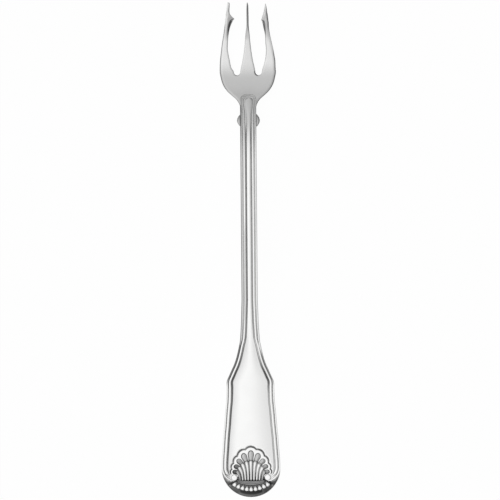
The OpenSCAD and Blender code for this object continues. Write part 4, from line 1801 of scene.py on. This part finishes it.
@dataclass
class ThreadBorder:
    """The double thread along the fork's edges, and the strip between the threads of the stem.

    Levels say how much shade is painted on the metal, from 0 to 1. Two of them are left and right.
    """

    fork: ForkPlan
    shell: ShellPlan
    moat: Moat
    metal: Material
    # The threads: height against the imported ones, which are left unpolished, how deep their
    # feet stand, their section, and width and length of their narrow ends
    crest: float = 0.85
    sunk: float = 0.22 * MM
    section_powers: Pair = (4.5, 0.42)
    end_share: float = 0.55
    end_l_share: float = 1.6
    # Width of the inner thread low on the blade, and length over which it widens
    low_width: float = 1.38
    low_l: float = 5 * MM
    # How much deeper the threads lie on the neck
    neck_sink: float = 0.12 * MM
    neck_sink_l: float = 4 * MM
    # The strip: its end on the blade, the fall of its sides, and how it flattens on the neck
    strip_end_share: float = 0.34
    strip_toe: float = -0.15
    strip_falls: Pair = (0.5, 0.9)
    strip_powers: Pair = (4, 3)
    neck_strip_share: float = 0.4
    neck_strip_l: float = 6 * MM
    neck_lean: float = 0.22 * MM
    neck_lean_l: float = 20 * MM
    # Painted shade at the strip's foot over the arch
    arch_foot_level: float = 0.3
    # The painted shade in the grooves between the threads, which ends short of the balls
    groove_height: float = 0.4
    right_share: float = 0.4
    ball_gap: Pair = (1.33 * MM, 2.03 * MM)
    # The stretch of the left side where the painted shade is evened out: less in the grooves, some
    # on the inner thread
    even_shade_span: Span = (-25 * MM, -19 * MM, 4 * MM, 10 * MM)
    even_shade_share: float = 0.6
    even_shade_level: float = 0.2
    # Painted shade on the border's outer edge, and on the outer thread at the shoulders
    rim_levels: Pair = (0.85, 0.3)
    rim_insets: Pair = (0.38 * MM, 0.13 * MM)
    rim_start: Pair = (-24 * MM, -12 * MM)
    pinched_levels: Pair = (0.85, 0.8)
    right_part_insets: Pair = (0.14 * MM, 0.28 * MM)
    right_part_start: Pair = (-28 * MM, -32 * MM)

    def build(self) -> None:
        """Makes the two threads and the strip."""
        fork, shell = self.fork, self.shell
        middle = fork.outer_thread_w / 2
        outer = self.path(middle, shell.outer_curl_angle, shell.outer_curl)
        self.thread("outer_thread", outer, fork.outer_thread_w)
        middle = fork.outer_thread_w + fork.groove_w + fork.inner_thread_w / 2
        inner = self.path(middle, shell.inner_curl_angle, shell.inner_curl)
        self.thread("inner_thread", inner, fork.inner_thread_w)
        self.strip()

    def path(self, inset: float, curl_angle: float, curl: float) -> Numbers:
        """The line of a thread's middle, up the left side, over the arch and down the right.

        Args:
            inset: Distance in from the border's outer line.
            curl_angle: How far the thread follows the half circle of the end.
            curl: How much further in it lies where it ends.

        Returns:
            The line's points.
        """
        fork = self.fork
        share = np.linspace(1, 0, 25)[:-1]
        turn, radius = curl_angle * share, fork.handle_r - inset - curl * share**2
        curl_line = np.stack([-radius * np.cos(turn), fork.y_arc - radius * np.sin(turn)], 1)
        y = np.concatenate([
            np.linspace(fork.y_arc, fork.y_end_top, 24)[:-1],
            np.linspace(fork.y_end_top, fork.y_blade_top, 130)[:-1],
            np.linspace(fork.y_blade_top, fork.y_stem_top, 60)[:-1],
            np.linspace(fork.y_stem_top, fork.y_arch, 12)[:-1],
        ])
        pinched = inset - fork.pinch(y) * (inset > fork.outer_thread_w)
        side_line = np.stack([-fork.inset_hw(y, pinched), y], 1)
        left = np.concatenate([curl_line, side_line, self.arch(inset, 28)])
        plan = np.concatenate([left, (left * (-1, 1))[-2::-1]])
        y = plan[:, 1]
        z = fork.front_z(y) - self.neck_sink * fork.near_neck(y, self.neck_sink_l)
        return np.concatenate([plan, z[:, None]], 1)

    def arch(self, inset: float, count: int) -> Numbers:
        """The left half of the arch on the neck, at a distance in from the outer line.

        Args:
            inset: The distance on the stem.
            count: How many points the line has.

        Returns:
            The points in plan, from the arch's foot to its top.
        """
        fork = self.fork
        narrowed = fork.neck_border_share * inset
        turn = np.linspace(0, math.pi / 2, count)
        rise = (fork.arch_top_share - fork.arch_start_share) * (fork.y_neck_top - fork.y_stem_top)
        x = -(fork.stem_hw - narrowed) * np.maximum(np.cos(turn), 0) ** fork.arch_power
        y = fork.y_arch + (rise - narrowed) * np.sin(turn) ** fork.arch_power
        x[-1] = 0
        return np.stack([x, y], 1)

    def thread(self, name: str, path: Numbers, width: float) -> None:
        """Sweeps a rounded thread along a line.

        Args:
            name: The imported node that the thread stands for.
            path: The line's points.
            width: The thread's width.
        """
        fork = self.fork
        line = bpy.data.meshes.new(name + "_line")
        edges = [(k, k + 1) for k in range(len(path) - 1)]
        line.from_pydata(path.tolist(), edges, [])
        run = np.concatenate([[0], np.cumsum(np.linalg.norm(np.diff(path, axis=0), axis=1))])
        from_end = np.minimum(run, run[-1] - run)
        taper = mix(self.end_share, 1, step(from_end, 0, self.end_l_share * width))
        is_inner = width > fork.outer_thread_w
        widened = mix(1, self.low_width, is_inner * self.low_down(path[:, 1]))
        keep_numbers(line, "thread_scale", fork.border_share(path[:, 1]) * taper * widened)
        recipe = Recipe("visual_" + name, Width=width, Height=fork.thread_h * self.crest,
                        Sunk=self.sunk)
        height, sunk = recipe.size("Height"), recipe.size("Sunk")
        curve = recipe.node(
            "GeometryNodeMeshToCurve", inputs={"Mesh": recipe.source.out("Geometry")}
        )
        upright = recipe.node(
            "GeometryNodeSetCurveNormal", {"mode": "Z_UP"}, {"Curve": curve}
        )
        arc = recipe.node("GeometryNodeCurveArc", inputs={
            "Resolution": 19, "Radius": 1.0, "Start Angle": math.pi, "Sweep Angle": math.pi,
        })
        across, _, _ = recipe.parts(recipe.node("GeometryNodeInputPosition"))
        flat, blunt = self.section_powers
        crown = (1 - abs(across) ** flat).clamp() ** blunt
        section = recipe.node("GeometryNodeSetPosition", inputs={
            "Geometry": arc,
            "Position": recipe.vector(
                across * recipe.size("Width") / 2, sunk - crown * (height + sunk), 0.0
            ),
        })
        closed = recipe.node(
            "GeometryNodeSetSplineCyclic", inputs={"Geometry": section, "Cyclic": True}
        )
        narrow = recipe.node(
            "GeometryNodeInputNamedAttribute", {"data_type": "FLOAT"}, {"Name": "thread_scale"}
        )
        swept = recipe.node("GeometryNodeCurveToMesh", inputs={
            "Curve": upright, "Profile Curve": closed, "Scale": narrow, "Fill Caps": True,
        })
        piece = recipe.make(swept, self.metal, line)
        self.shade_feet(piece)
        settle(piece, name)

    def low_down(self, y: Numbers) -> Numbers:
        """A soft step from 0 at the widest place of the moat to 1 low on the blade."""
        return step(y, self.moat.blade_y, self.moat.blade_y - self.low_l)

    def shade_feet(self, piece: Object) -> None:
        """Marks a thread with painted shade at its feet, at the border's outer edge and at the
        shoulders.

        Args:
            piece: The thread.
        """
        fork = self.fork
        x, y, z = read_points(piece.data).T
        height = (z - fork.front_z(y)) / fork.thread_h
        inset = fork.body_hw(y) - np.abs(x)
        level = fork.groove_share(y) * mix(1, self.right_share, (x > 0) * self.low_down(y))
        ball_y = fork.y_end + self.shell.ball_up
        level = level * step(np.hypot(np.abs(x) - self.shell.ball_x, y - ball_y), *self.ball_gap)
        even_shade = (x < 0) * plateau(y, *self.even_shade_span)
        feet = step(height, self.groove_height, 0) * (inset > 0.3 * MM)
        inner = step(inset, fork.outer_thread_w, fork.outer_thread_w + 0.1 * MM)
        groove = feet * level * (1 - self.even_shade_share * even_shade) + self.even_shade_level * even_shade * inner
        rim = step(inset, *self.rim_insets) * np.where(x < 0, *self.rim_levels)
        rim = rim * step(y - fork.y_blade_top, *self.rim_start)
        pinched = fork.pinch(y) / fork.pinch_w * (piece.name == "visual_outer_thread")
        right_part = step(inset, *self.right_part_insets) * step(y, *self.right_part_start)
        pinched = pinched * np.where(x < 0, 1, right_part) * np.where(x < 0, *self.pinched_levels)
        keep_numbers(piece.data, PAINTED_SHADE, np.max([groove, rim, pinched], 0))

    def strip(self) -> None:
        """Makes the raised strip along the stem, which sinks into the field on the blade."""
        fork = self.fork
        low = mix(fork.y_blade_top, fork.y_end_top, self.strip_end_share)
        y = np.concatenate([
            np.linspace(low, fork.y_blade_top, 60)[:-1],
            np.linspace(fork.y_blade_top, fork.y_stem_top, 90)[:-1],
            np.linspace(fork.y_stem_top, fork.y_arch, 14)[:-1],
        ])
        arch = self.arch(fork.border_w, 28)[:-1]
        half_w = np.concatenate([fork.inset_hw(y, fork.border_w), -arch[:, 0]])
        y = np.concatenate([y, arch[:, 1]])
        fade = step(y, low, fork.y_blade_top)
        s = np.sin(np.linspace(-math.pi / 2, math.pi / 2, 41))
        neck = fork.near_neck(y, self.neck_strip_l)[:, None]
        lean = fork.near_neck(y, self.neck_lean_l)[:, None]
        x = half_w[:, None] * s[None, :] + self.neck_lean * lean
        power = mix(*self.strip_powers, neck)
        side_fall = mix(*self.strip_falls, neck) * np.abs(s[None, :]) ** power
        rise = fork.strip_h * mix(self.strip_toe, 1, fade)[:, None]
        top = rise * mix(1, self.neck_strip_share, neck) * (1 - side_fall)
        y = np.broadcast_to(y[:, None], x.shape)
        field_z = fork.front_z(y)
        skin = Skin()
        lined = (fork.line_hw(y) - np.abs(x)) / fork.line_stretch(y) / fork.border_share(y)
        edge = fork.border_w + half_w[:, None] * (1 - np.abs(s[None, :]))
        inset = np.where(y < fork.y_arch, lined, edge)
        fall, dark = self.moat.cut(x, y, inset)
        foot = self.arch_foot_level * (y >= fork.y_arch) * step(np.abs(s), 0.9, 1)
        wall = np.ones(x.shape[1] - 1, bool)
        back = field_z - self.sunk - self.moat.depth
        front = field_z + top - fall - fork.crown(x, y)
        dark = np.max([dark, foot, fork.left_field_shade(x, y, inset)], 0)
        skin.add(Sheet("strip", x, y, front, back, dark, top_wall=wall))
        piece = skin.cut({"strip": self.metal})["strip"]
        piece.name = "visual_stem_strip"
        settle(piece, "stem_strip")


@dataclass
class ShellOrnament:
    """The scallop shell on the handle's end, with its balls, its base band and its fringe."""

    plan: ShellPlan
    metal: Material
    # How deep the pieces' feet stand in the metal, and points across each lobe
    sunk: float = 0.3 * MM
    across: int = 24
    # The petals: start and length of their round tops as shares of the way in from the rim,
    # their half width as a share of half a lobe, and their depth as a share of the shell's
    petal_top: float = 0.285
    petal_round_l: float = 0.26
    petal_side: float = 0.8
    petal_depth: float = 0.62
    # Depth of the grooves between the ribs, at the seam and at the ribs' feet
    groove_top: float = 0.5
    groove_foot: float = 0.85
    # The band: heights of its top and bottom edges in the middle, and their rise at its ends
    band_sides: Pair = (4.95 * MM, 3.5 * MM)
    band_bows: Pair = (0.3 * MM, 1.05 * MM)
    band_half_w: float = 4.1 * MM
    # Heights of the teeth, and of the balls as shares of their radius
    tooth_h: float = 0.36 * MM
    ball_rise: float = 0.45
    ball_foot: float = 0.12

    def build(self) -> None:
        """Makes the shell and the pieces round it."""
        settle(self.fan(), "shell_fan")
        settle(self.ribs(), "shell_ribs")
        settle(self.band(), "base_band")
        settle(self.fringe(), "fringe")
        for side in Side:
            settle(self.ball(side), side.name.lower() + "_ball")

    def box_grid(self, recipe: Recipe, across: int, down: int) -> tuple[Wire, Wire, Wire, Wire]:
        """A closed box of points that a recipe bends into shape.

        Args:
            recipe: The piece's tree.
            across: Points across the piece.
            down: Points down the piece.

        Returns:
            The box, and each point's share across from -1 to 1, down from 0 to 1, and its
            layer, which is 0 on the bottom and 1 on the top.
        """
        box = recipe.node("GeometryNodeMeshCube", inputs={
            "Size": (2.0, 1.0, 1.0), "Vertices X": across, "Vertices Y": down, "Vertices Z": 2,
        })
        place = recipe.node("GeometryNodeInputPosition")
        x, y, z = recipe.parts(place)
        return box, x, 0.5 - y, z + 0.5

    def shape(
        self, recipe: Recipe, box: Wire, x: Wire, up: Wire, height: Wire, painted_shade: Wire
    ) -> Wire:
        """Sets the box's points to their places on the handle's end.

        Args:
            recipe: The piece's tree.
            box: The box of points.
            x: Each point's place across the face.
            up: Its place up the face.
            height: Its height over the face.
            painted_shade: How much shade is painted on the piece there.

        Returns:
            The shaped geometry.
        """
        marked = recipe.store(box, PAINTED_SHADE, painted_shade)
        place = recipe.vector(*self.plan.fork.on_end(x, up, height))
        return recipe.node(
            "GeometryNodeSetPosition", inputs={"Geometry": marked, "Position": place}
        )

    def standing(self, layer: Wire, rise: Wire) -> Wire:
        """Height of a point: its rise on the box's top, and the piece's foot on its bottom."""
        return layer * rise - (1 - layer) * self.sunk

    def lobe_phase(self, recipe: Recipe, share: Wire) -> Wire:
        """Where a point lies in its lobe, from -1 over 0 in its middle to 1."""
        turn = (share + 1) / 2 * recipe.size("Lobes")
        return 2 * turn.do("FRACT") - 1

    def seam_point(self, recipe: Recipe, share: Wire, phase: Wire) -> tuple[Wire, Wire]:
        """The seam's radius, and the angle of the ray that it lies on."""
        angle = math.pi / 2 - share * (math.pi / 2 - self.plan.rise_angle)
        radius = recipe.size("Seam radius") * (1.04 - 0.06 * phase * phase)
        return radius, angle

    def fan(self) -> Object:
        """The upper part of the shell: a lobed rim round sunken petals.

        Returns:
            The piece.
        """
        plan = self.plan
        recipe = Recipe("visual_shell_fan", **{
            "Half width": plan.half_w, "Fan height": plan.fan_h, "Seam radius": plan.seam_r,
            "Lobes": float(plan.lobes), "Lobe spread": plan.lobe_spread,
            "Thickness": plan.shell_t,
        })
        count = plan.lobes * self.across + 1
        box, share, down, layer = self.box_grid(recipe, count, 54)
        phase = self.lobe_phase(recipe, share)
        seam, ray = self.seam_point(recipe, share, phase)
        spread = recipe.size("Lobe spread") * (share * math.pi).do("SINE")
        # Between the seam and the rim the lobes spread apart, the upper ones most of all
        angle = ray - spread * (1 - down) ** 2.6
        rim_angle = ray - spread
        sine, cosine = rim_angle.do("SINE"), rim_angle.do("COSINE")
        wide, high = recipe.size("Half width"), recipe.size("Fan height")
        oval = wide * high / ((high * cosine) ** 2 + (wide * sine) ** 2).do("SQRT")
        rim = oval * (1 - plan.lobe_dip * phase * phase)
        radius = rim + (seam - rim) * down
        cap = ((self.petal_top + self.petal_round_l - down) / self.petal_round_l).most(0.0)
        side = phase / self.petal_side
        outline = (side * side + cap * cap).do("SQRT")
        petal = outline.smooth(1.05, 0.86)
        bulge = outline.smooth(0.85, 0.2)
        # The height falls at the rim, towards the seam and in the petals, which bulge again
        edge = down.smooth(-0.01, 0.08)
        ridge = 1 - 0.15 * down.smooth(0.5, 1.0)
        level = (0.25 + 0.75 * edge) * (ridge - petal * (self.petal_depth - 0.22 * bulge))
        height = self.standing(layer, recipe.size("Thickness") * level)
        # Shade is painted in the petals, on their outlines, between them and along both edges, more
        # on the left
        line = outline.smooth(1.12, 1.0) * outline.smooth(0.66, 0.84)
        left = share.smooth(0.1, -0.3)
        low = petal * abs(share).smooth(0.25, 0.8) * (0.26 + 0.22 * left)
        between = abs(side).smooth(0.95, 1.15) * down.smooth(0.7, 0.95)
        rim_edge, seam_edge = 0.8 * down.smooth(0.035, 0.0), down.smooth(0.93, 0.985)
        outlines = line * (0.8 + 0.15 * left)
        painted_shade = (0.4 * petal + low).most(outlines, 0.6 * between, rim_edge, seam_edge)
        x, up = radius * angle.do("COSINE"), plan.hinge_up + radius * angle.do("SINE")
        return recipe.make(self.shape(recipe, box, x, up, height, painted_shade), self.metal)

    def ribs(self) -> Object:
        """The lower part of the shell: round ribs that run together at the base band.

        Returns:
            The piece.
        """
        plan = self.plan
        recipe = Recipe("visual_shell_ribs", **{
            "Seam radius": plan.seam_r, "Foot radius": plan.band_r - plan.band_w / 2,
            "Lobes": float(plan.lobes), "Thickness": plan.shell_t,
        })
        count = plan.lobes * self.across + 1
        box, share, down, layer = self.box_grid(recipe, count, 44)
        phase = self.lobe_phase(recipe, share)
        seam, ray = self.seam_point(recipe, share, phase)
        top_x, top_up = seam * ray.do("COSINE"), plan.hinge_up + seam * ray.do("SINE")
        swing = share * (plan.band_angle / 2)
        foot_x = recipe.size("Foot radius") * swing.do("SINE")
        foot_up = self.band_sides[0] + (foot_x / self.band_half_w) ** 2 * self.band_bows[0]
        foot_up = foot_up - 0.15 * MM
        turn_x, turn_up = foot_x * 1.03, foot_up + (top_up - foot_up) * 0.8
        a, b, c = (1 - down) * (1 - down), 2 * down * (1 - down), down * down
        x = a * top_x + b * turn_x + c * foot_x
        up = a * top_up + b * turn_up + c * foot_up
        # Each rib is round, and the grooves deepen towards its foot
        off = abs(phase)
        groove = self.groove_top + (self.groove_foot - self.groove_top) * down.smooth(0.2, 1.0)
        rise = 0.72 + 0.28 * down.smooth(0.0, 0.16)
        crest = rise * (1 - 0.25 * down.smooth(0.7, 1.05))
        level = crest * (1 - groove * off**2.6)
        height = self.standing(layer, recipe.size("Thickness") * level)
        # Shade is painted in the grooves, at the seam, at the foot and on the shell's flanks
        wide = 0.12 * down.smooth(0.45, 0.95)
        line = ((off + wide - 0.74) / 0.2).smooth(0.0, 1.0) * (0.6 + 0.5 * down)
        line = line * (1 - 0.35 * share.smooth(0.1, 0.4) * down.smooth(0.95, 0.8))
        seam_edge = (0.95 * down.smooth(0.05, 0.0)).most(0.3 * down.smooth(0.24, 0.0))
        flanks = 0.5 * abs(share).smooth(0.6, 0.9)
        painted_shade = line.most(seam_edge, down.smooth(0.93, 0.99), flanks)
        return recipe.make(self.shape(recipe, box, x, up, height, painted_shade), self.metal)

    def band(self) -> Object:
        """The base band under the ribs: a boat with fine lines along it.

        Returns:
            The piece.
        """
        plan = self.plan
        recipe = Recipe("visual_base_band", **{
            "Half length": self.band_half_w, "Top": self.band_sides[0],
            "Bottom": self.band_sides[1], "Height": plan.band_h,
        })
        box, share, down, layer = self.box_grid(recipe, 91, 41)
        bow = share * share
        top = recipe.size("Top") + bow * self.band_bows[0]
        bottom = recipe.size("Bottom") + bow * (0.7 + 0.3 * bow * bow) * self.band_bows[1]
        x, up = share * recipe.size("Half length"), top + (bottom - top) * down
        off = abs(2 * down - 1)
        round_part = (1 - off**4.0).clamp()
        line = (down * math.pi * 6).do("COSINE") * -0.09
        ends = (1 - abs(share)).smooth(0.0, 0.08)
        level = (0.3 + 0.5 * round_part + line) * (0.5 + 0.5 * ends)
        height = self.standing(layer, recipe.size("Height") * level)
        # Painted shade on the band, deeper in the valleys between its lines and along its edges;
        # its even base level stands for oxide
        painted_shade = 0.7 - 1.8 * line + 0.45 * off.smooth(0.85, 1.0)
        return recipe.make(self.shape(recipe, box, x, up, height, painted_shade), self.metal)

    def fringe(self) -> Object:
        """The row of teeth that hangs from the base band.

        Returns:
            The piece.
        """
        plan = self.plan
        recipe = Recipe("visual_fringe", **{
            "Teeth": plan.teeth, "Length": plan.fringe_end - plan.fringe_start,
            "Start": plan.fringe_start, "Angle": plan.fringe_angle, "Height": self.tooth_h,
        })
        teeth, length = recipe.size("Teeth"), recipe.size("Length")
        box, share, down, layer = self.box_grid(recipe, 21, 25)
        pitch = recipe.size("Angle") / teeth * (recipe.size("Start") + length * 0.6)
        widen = 0.5 + 0.52 * down.smooth(0.0, 0.7)
        tail = ((down - 0.74) / 0.26).clamp()
        half_w = pitch * 0.5 * widen * (1 - tail * tail * 0.98).do("SQRT")
        x = share * half_w
        top = (1 - abs(share) ** 5.0 * 0.8) * (0.6 + 0.4 * down.smooth(0.0, 0.4))
        level = top * (1 - tail**5.0 * 0.6)
        height = self.standing(layer, recipe.size("Height") * level)
        # Painted shade on the teeth's sides and on their tops, where they meet the band
        painted_shade = 0.9 * abs(share).smooth(0.72, 1.0) * down.smooth(0.9, 0.5)
        painted_shade = painted_shade + 0.8 * down.smooth(0.55, 0.0)
        marked = recipe.store(box, PAINTED_SHADE, painted_shade)
        tooth = recipe.node("GeometryNodeSetPosition", inputs={
            "Geometry": marked,
            "Position": recipe.vector(x, (recipe.size("Start") + length * down) * -1, height),
        })
        points = recipe.node(
            "GeometryNodeMeshLine", {"mode": "OFFSET"},
            {"Count": teeth, "Offset": (0.0, 0.0, 0.0)},
        )
        index = recipe.node("GeometryNodeInputIndex")
        swing = (index + 0.5) / teeth * recipe.size("Angle") - recipe.size("Angle") / 2
        turned = recipe.node("GeometryNodeInstanceOnPoints", inputs={
            "Points": points, "Instance": tooth, "Rotation": recipe.vector(0.0, 0.0, swing),
        })
        real = recipe.node("GeometryNodeRealizeInstances", inputs={"Geometry": turned})
        x, y, z = recipe.parts(recipe.node("GeometryNodeInputPosition"))
        place = recipe.vector(*plan.fork.on_end(x, plan.band_up + y, z))
        moved = recipe.node(
            "GeometryNodeSetPosition", inputs={"Geometry": real, "Position": place}
        )
        return recipe.make(moved, self.metal)

    def ball(self, side: Side) -> Object:
        """Makes the round end of a scroll: a dome on a narrow foot.

        Args:
            side: The side of the fork that it is on.

        Returns:
            The piece.
        """
        plan = self.plan
        rise = np.linspace(0, math.pi / 2, 17)
        # The foot is a ring under the metal and one on it, both narrower than the dome
        radius = np.concatenate([[0.93, 0.93], np.cos(rise[:-1])])
        dome = (1 - radius[2:] ** 10).clip(0) ** 0.5
        height = plan.ball_r * mix(self.ball_foot, self.ball_rise, dome)
        height = np.concatenate([[-self.sunk, 0], height])
        turn = np.linspace(0, 2 * math.pi, 49)[:-1]
        count, last = len(turn), len(radius) - 1
        x = np.append(np.outer(radius, np.cos(turn)) * plan.ball_r, 0)
        y = np.append(np.outer(radius, np.sin(turn)) * plan.ball_r, 0)
        z = np.append(np.repeat(height, count), plan.ball_r * self.ball_rise)
        place = plan.fork.on_end(x + side.value * plan.ball_x, y + plan.ball_up, z)
        *sides, foot = ring_faces(len(radius), count)
        dome = [
            (last * count + k, last * count + (k + 1) % count, len(x) - 1) for k in range(count)
        ]
        # Painted shade round the ball's foot
        painted_shade = 0.5 * step(z, 0.15 * plan.ball_r, 0)
        name = "visual_" + side.name.lower() + "_ball"
        return cast_piece(name, np.stack(place, 1), [*sides, *dome, foot], painted_shade, self.metal)


@dataclass
class NeckLugs:
    """The two nubs where the border steps in under the neck."""

    fork: ForkPlan
    metal: Material
    # Length, how far a nub stands out from the stem and reaches into it, and its thickness
    length: float = 3.9 * MM
    out: float = 1.05 * MM
    sink: float = 0.5 * MM
    thickness: float = 1 * MM
    # Thickness of its ends against its middle's, and size of the left nub against the right's
    end_share: float = 0.55
    left_share: float = 0.9
    # How much shade is painted on it, how much more at the stem, and how far from there
    level: float = 0.16
    foot_level: float = 0.45
    foot_w: float = 0.25 * MM

    def build(self) -> None:
        """Makes the nubs."""
        for side in Side:
            settle(self.lug(side), side.name.lower() + "_lug")

    def lug(self, side: Side) -> Object:
        """Makes one nub: a bent bead with a ridge along its outside.

        Args:
            side: The side of the fork that it is on.

        Returns:
            The piece.
        """
        fork = self.fork
        share = self.left_share if side is Side.LEFT else 1
        lean = np.linspace(-1, 1, 33)[1:-1, None]
        out = self.out * share * np.cos(lean * math.pi / 2) ** 0.8
        turn = np.linspace(0, 2 * math.pi, 33)[None, :-1]
        across = np.abs(np.cos(turn)) ** 0.8 * np.sign(np.cos(turn))
        rise = np.abs(np.sin(turn)) ** 0.9 * np.sign(np.sin(turn))
        tall = self.thickness / 2 * mix(self.end_share, 1, out / self.out)
        half = (out + self.sink) / 2
        x = fork.stem_hw - self.sink + half + half * across
        y = fork.y_stem_top - self.length / 2 * (1 - share * lean) + 0 * x
        z = fork.front_z(y) - 0.05 * MM - self.thickness / 2 + tall * rise
        faces = ring_faces(*x.shape)
        faces.append(tuple(range(x.size - x.shape[1], x.size)))
        painted_shade = self.level + self.foot_level * step(x.ravel() - fork.stem_hw, self.foot_w, 0)
        points = np.stack([side.value * x, y, z], -1).reshape(-1, 3)
        name = "visual_" + side.name.lower() + "_lug"
        return cast_piece(name, points, faces, painted_shade, self.metal)


@dataclass
class Studio:
    """The floor, the light all round and the camera over the fork."""

    # The camera: width of its view, height, aim, and how far the fork is turned in the picture
    view_w: float = 147.75 * MM
    distance: float = 3.0
    aim_x: float = 0.21 * MM
    roll: float = math.radians(0.46)
    # The floor: half its width, its place under the fork, its paint, and its look of a glow
    floor_size: float = 4.0
    floor_drop: float = 0.02 * MM
    floor_level: float = 0.95
    floor_glow: float = 1.03
    glow_share: float = 0.92
    # How the sky darkens towards the right and the tines, and how much its right side does
    sky_tilt: Pair = (0.12, 0.08)
    right_fall: float = 0.25
    right_span: Pair = (0.012, 0.075)
    # Level of its light by height over the horizon, from 0 to 1
    sky: Sequence[tuple[float, float]] = (
        (0.0, 0.04), (0.2, 0.07), (0.4, 0.2), (0.6, 0.55), (0.75, 0.85), (0.9, 0.98), (1.0, 1.0),
    )

    def build(self) -> None:
        """Makes the studio."""
        self.floor()
        self.light()
        self.camera()

    @staticmethod
    def seen(tree: Tree) -> Wire:
        """1 for the rays that see a thing itself or its reflection, and 0 for its light."""
        path = tree.node("ShaderNodeLightPath")
        return path.out("Is Camera Ray").most(
            path.out("Is Glossy Ray"), path.out("Is Transmission Ray")
        )

    def floor(self) -> None:
        """A plain white floor that keeps a faint shadow."""
        half = self.floor_size
        mesh = bpy.data.meshes.new("floor")
        corners = [(-half, -half), (half, -half), (half, half), (-half, half)]
        mesh.from_pydata([(x, y, -self.floor_drop) for x, y in corners], [], [(0, 1, 2, 3)])
        material = bpy.data.materials.new("floor_white")
        tree = Tree.of(material)
        level = self.floor_level
        paint = tree.node("ShaderNodeBsdfDiffuse", inputs={"Color": (level, level, level, 1)})
        glow = tree.node(
            "ShaderNodeEmission", inputs={"Color": (1, 1, 1, 1), "Strength": self.floor_glow}
        )
        mixed = tree.node(
            "ShaderNodeMixShader", inputs={0: self.seen(tree) * self.glow_share, 1: paint, 2: glow}
        )
        tree.end("ShaderNodeOutputMaterial", mixed)
        mesh.materials.append(material)
        floor = bpy.data.objects.new("floor", mesh)
        bpy.context.scene.collection.objects.link(floor)

    def light(self) -> None:
        """Soft light from above that fades towards the horizon, with a white backdrop."""
        world = bpy.data.worlds.new("studio")
        bpy.context.scene.world = world
        tree = Tree.of(world)
        x, y, z = tree.parts(tree.node("ShaderNodeTexCoord", output="Generated"))
        height = z - self.sky_tilt[0] * x - self.sky_tilt[1] * y.clamp()
        level = tree.node("ShaderNodeValToRGB", {"stops": self.sky}, {0: height})
        level = tree.scaled(level, 1 - self.right_fall * x.smooth(*self.right_span))
        camera = tree.node("ShaderNodeLightPath").out("Is Camera Ray")
        shown = tree.mix(level, (1, 1, 1, 1), camera)
        glow = tree.node("ShaderNodeBackground", inputs={"Color": shown, "Strength": 1.0})
        tree.end("ShaderNodeOutputWorld", glow)

    def camera(self) -> None:
        """A long lens straight above the fork."""
        data = bpy.data.cameras.new("camera")
        data.sensor_width = 36
        data.lens = data.sensor_width * self.distance / self.view_w
        data.clip_start, data.clip_end = 0.1, 10 * self.distance
        camera = bpy.data.objects.new("camera", data)
        camera.location = (self.aim_x, 0, self.distance)
        camera.rotation_euler = (0, 0, -self.roll)
        bpy.context.scene.collection.objects.link(camera)
        bpy.context.scene.camera = camera
        bpy.context.scene.view_settings.view_transform = "Standard"


def main() -> None:
    """Builds the fork and its studio, piece by piece."""
    logging.basicConfig(level=logging.INFO, format="%(name)s: %(message)s")
    fork = ForkPlan()
    shell = ShellPlan(fork)
    head = MetalFinish("polished_head").build()
    handle = MetalFinish("polished_handle").build()
    relief = MetalFinish("polished_relief", roughness=0.12).build()
    moat = Moat(fork, shell.inner_curl_angle)
    ForkBody(fork, shell, moat).build(head, handle)
    NeckLugs(fork, relief).build()
    ThreadBorder(fork, shell, moat, relief).build()
    ShellOrnament(shell, relief).build()
    Studio().build()


if __name__ == "__main__":
    main()
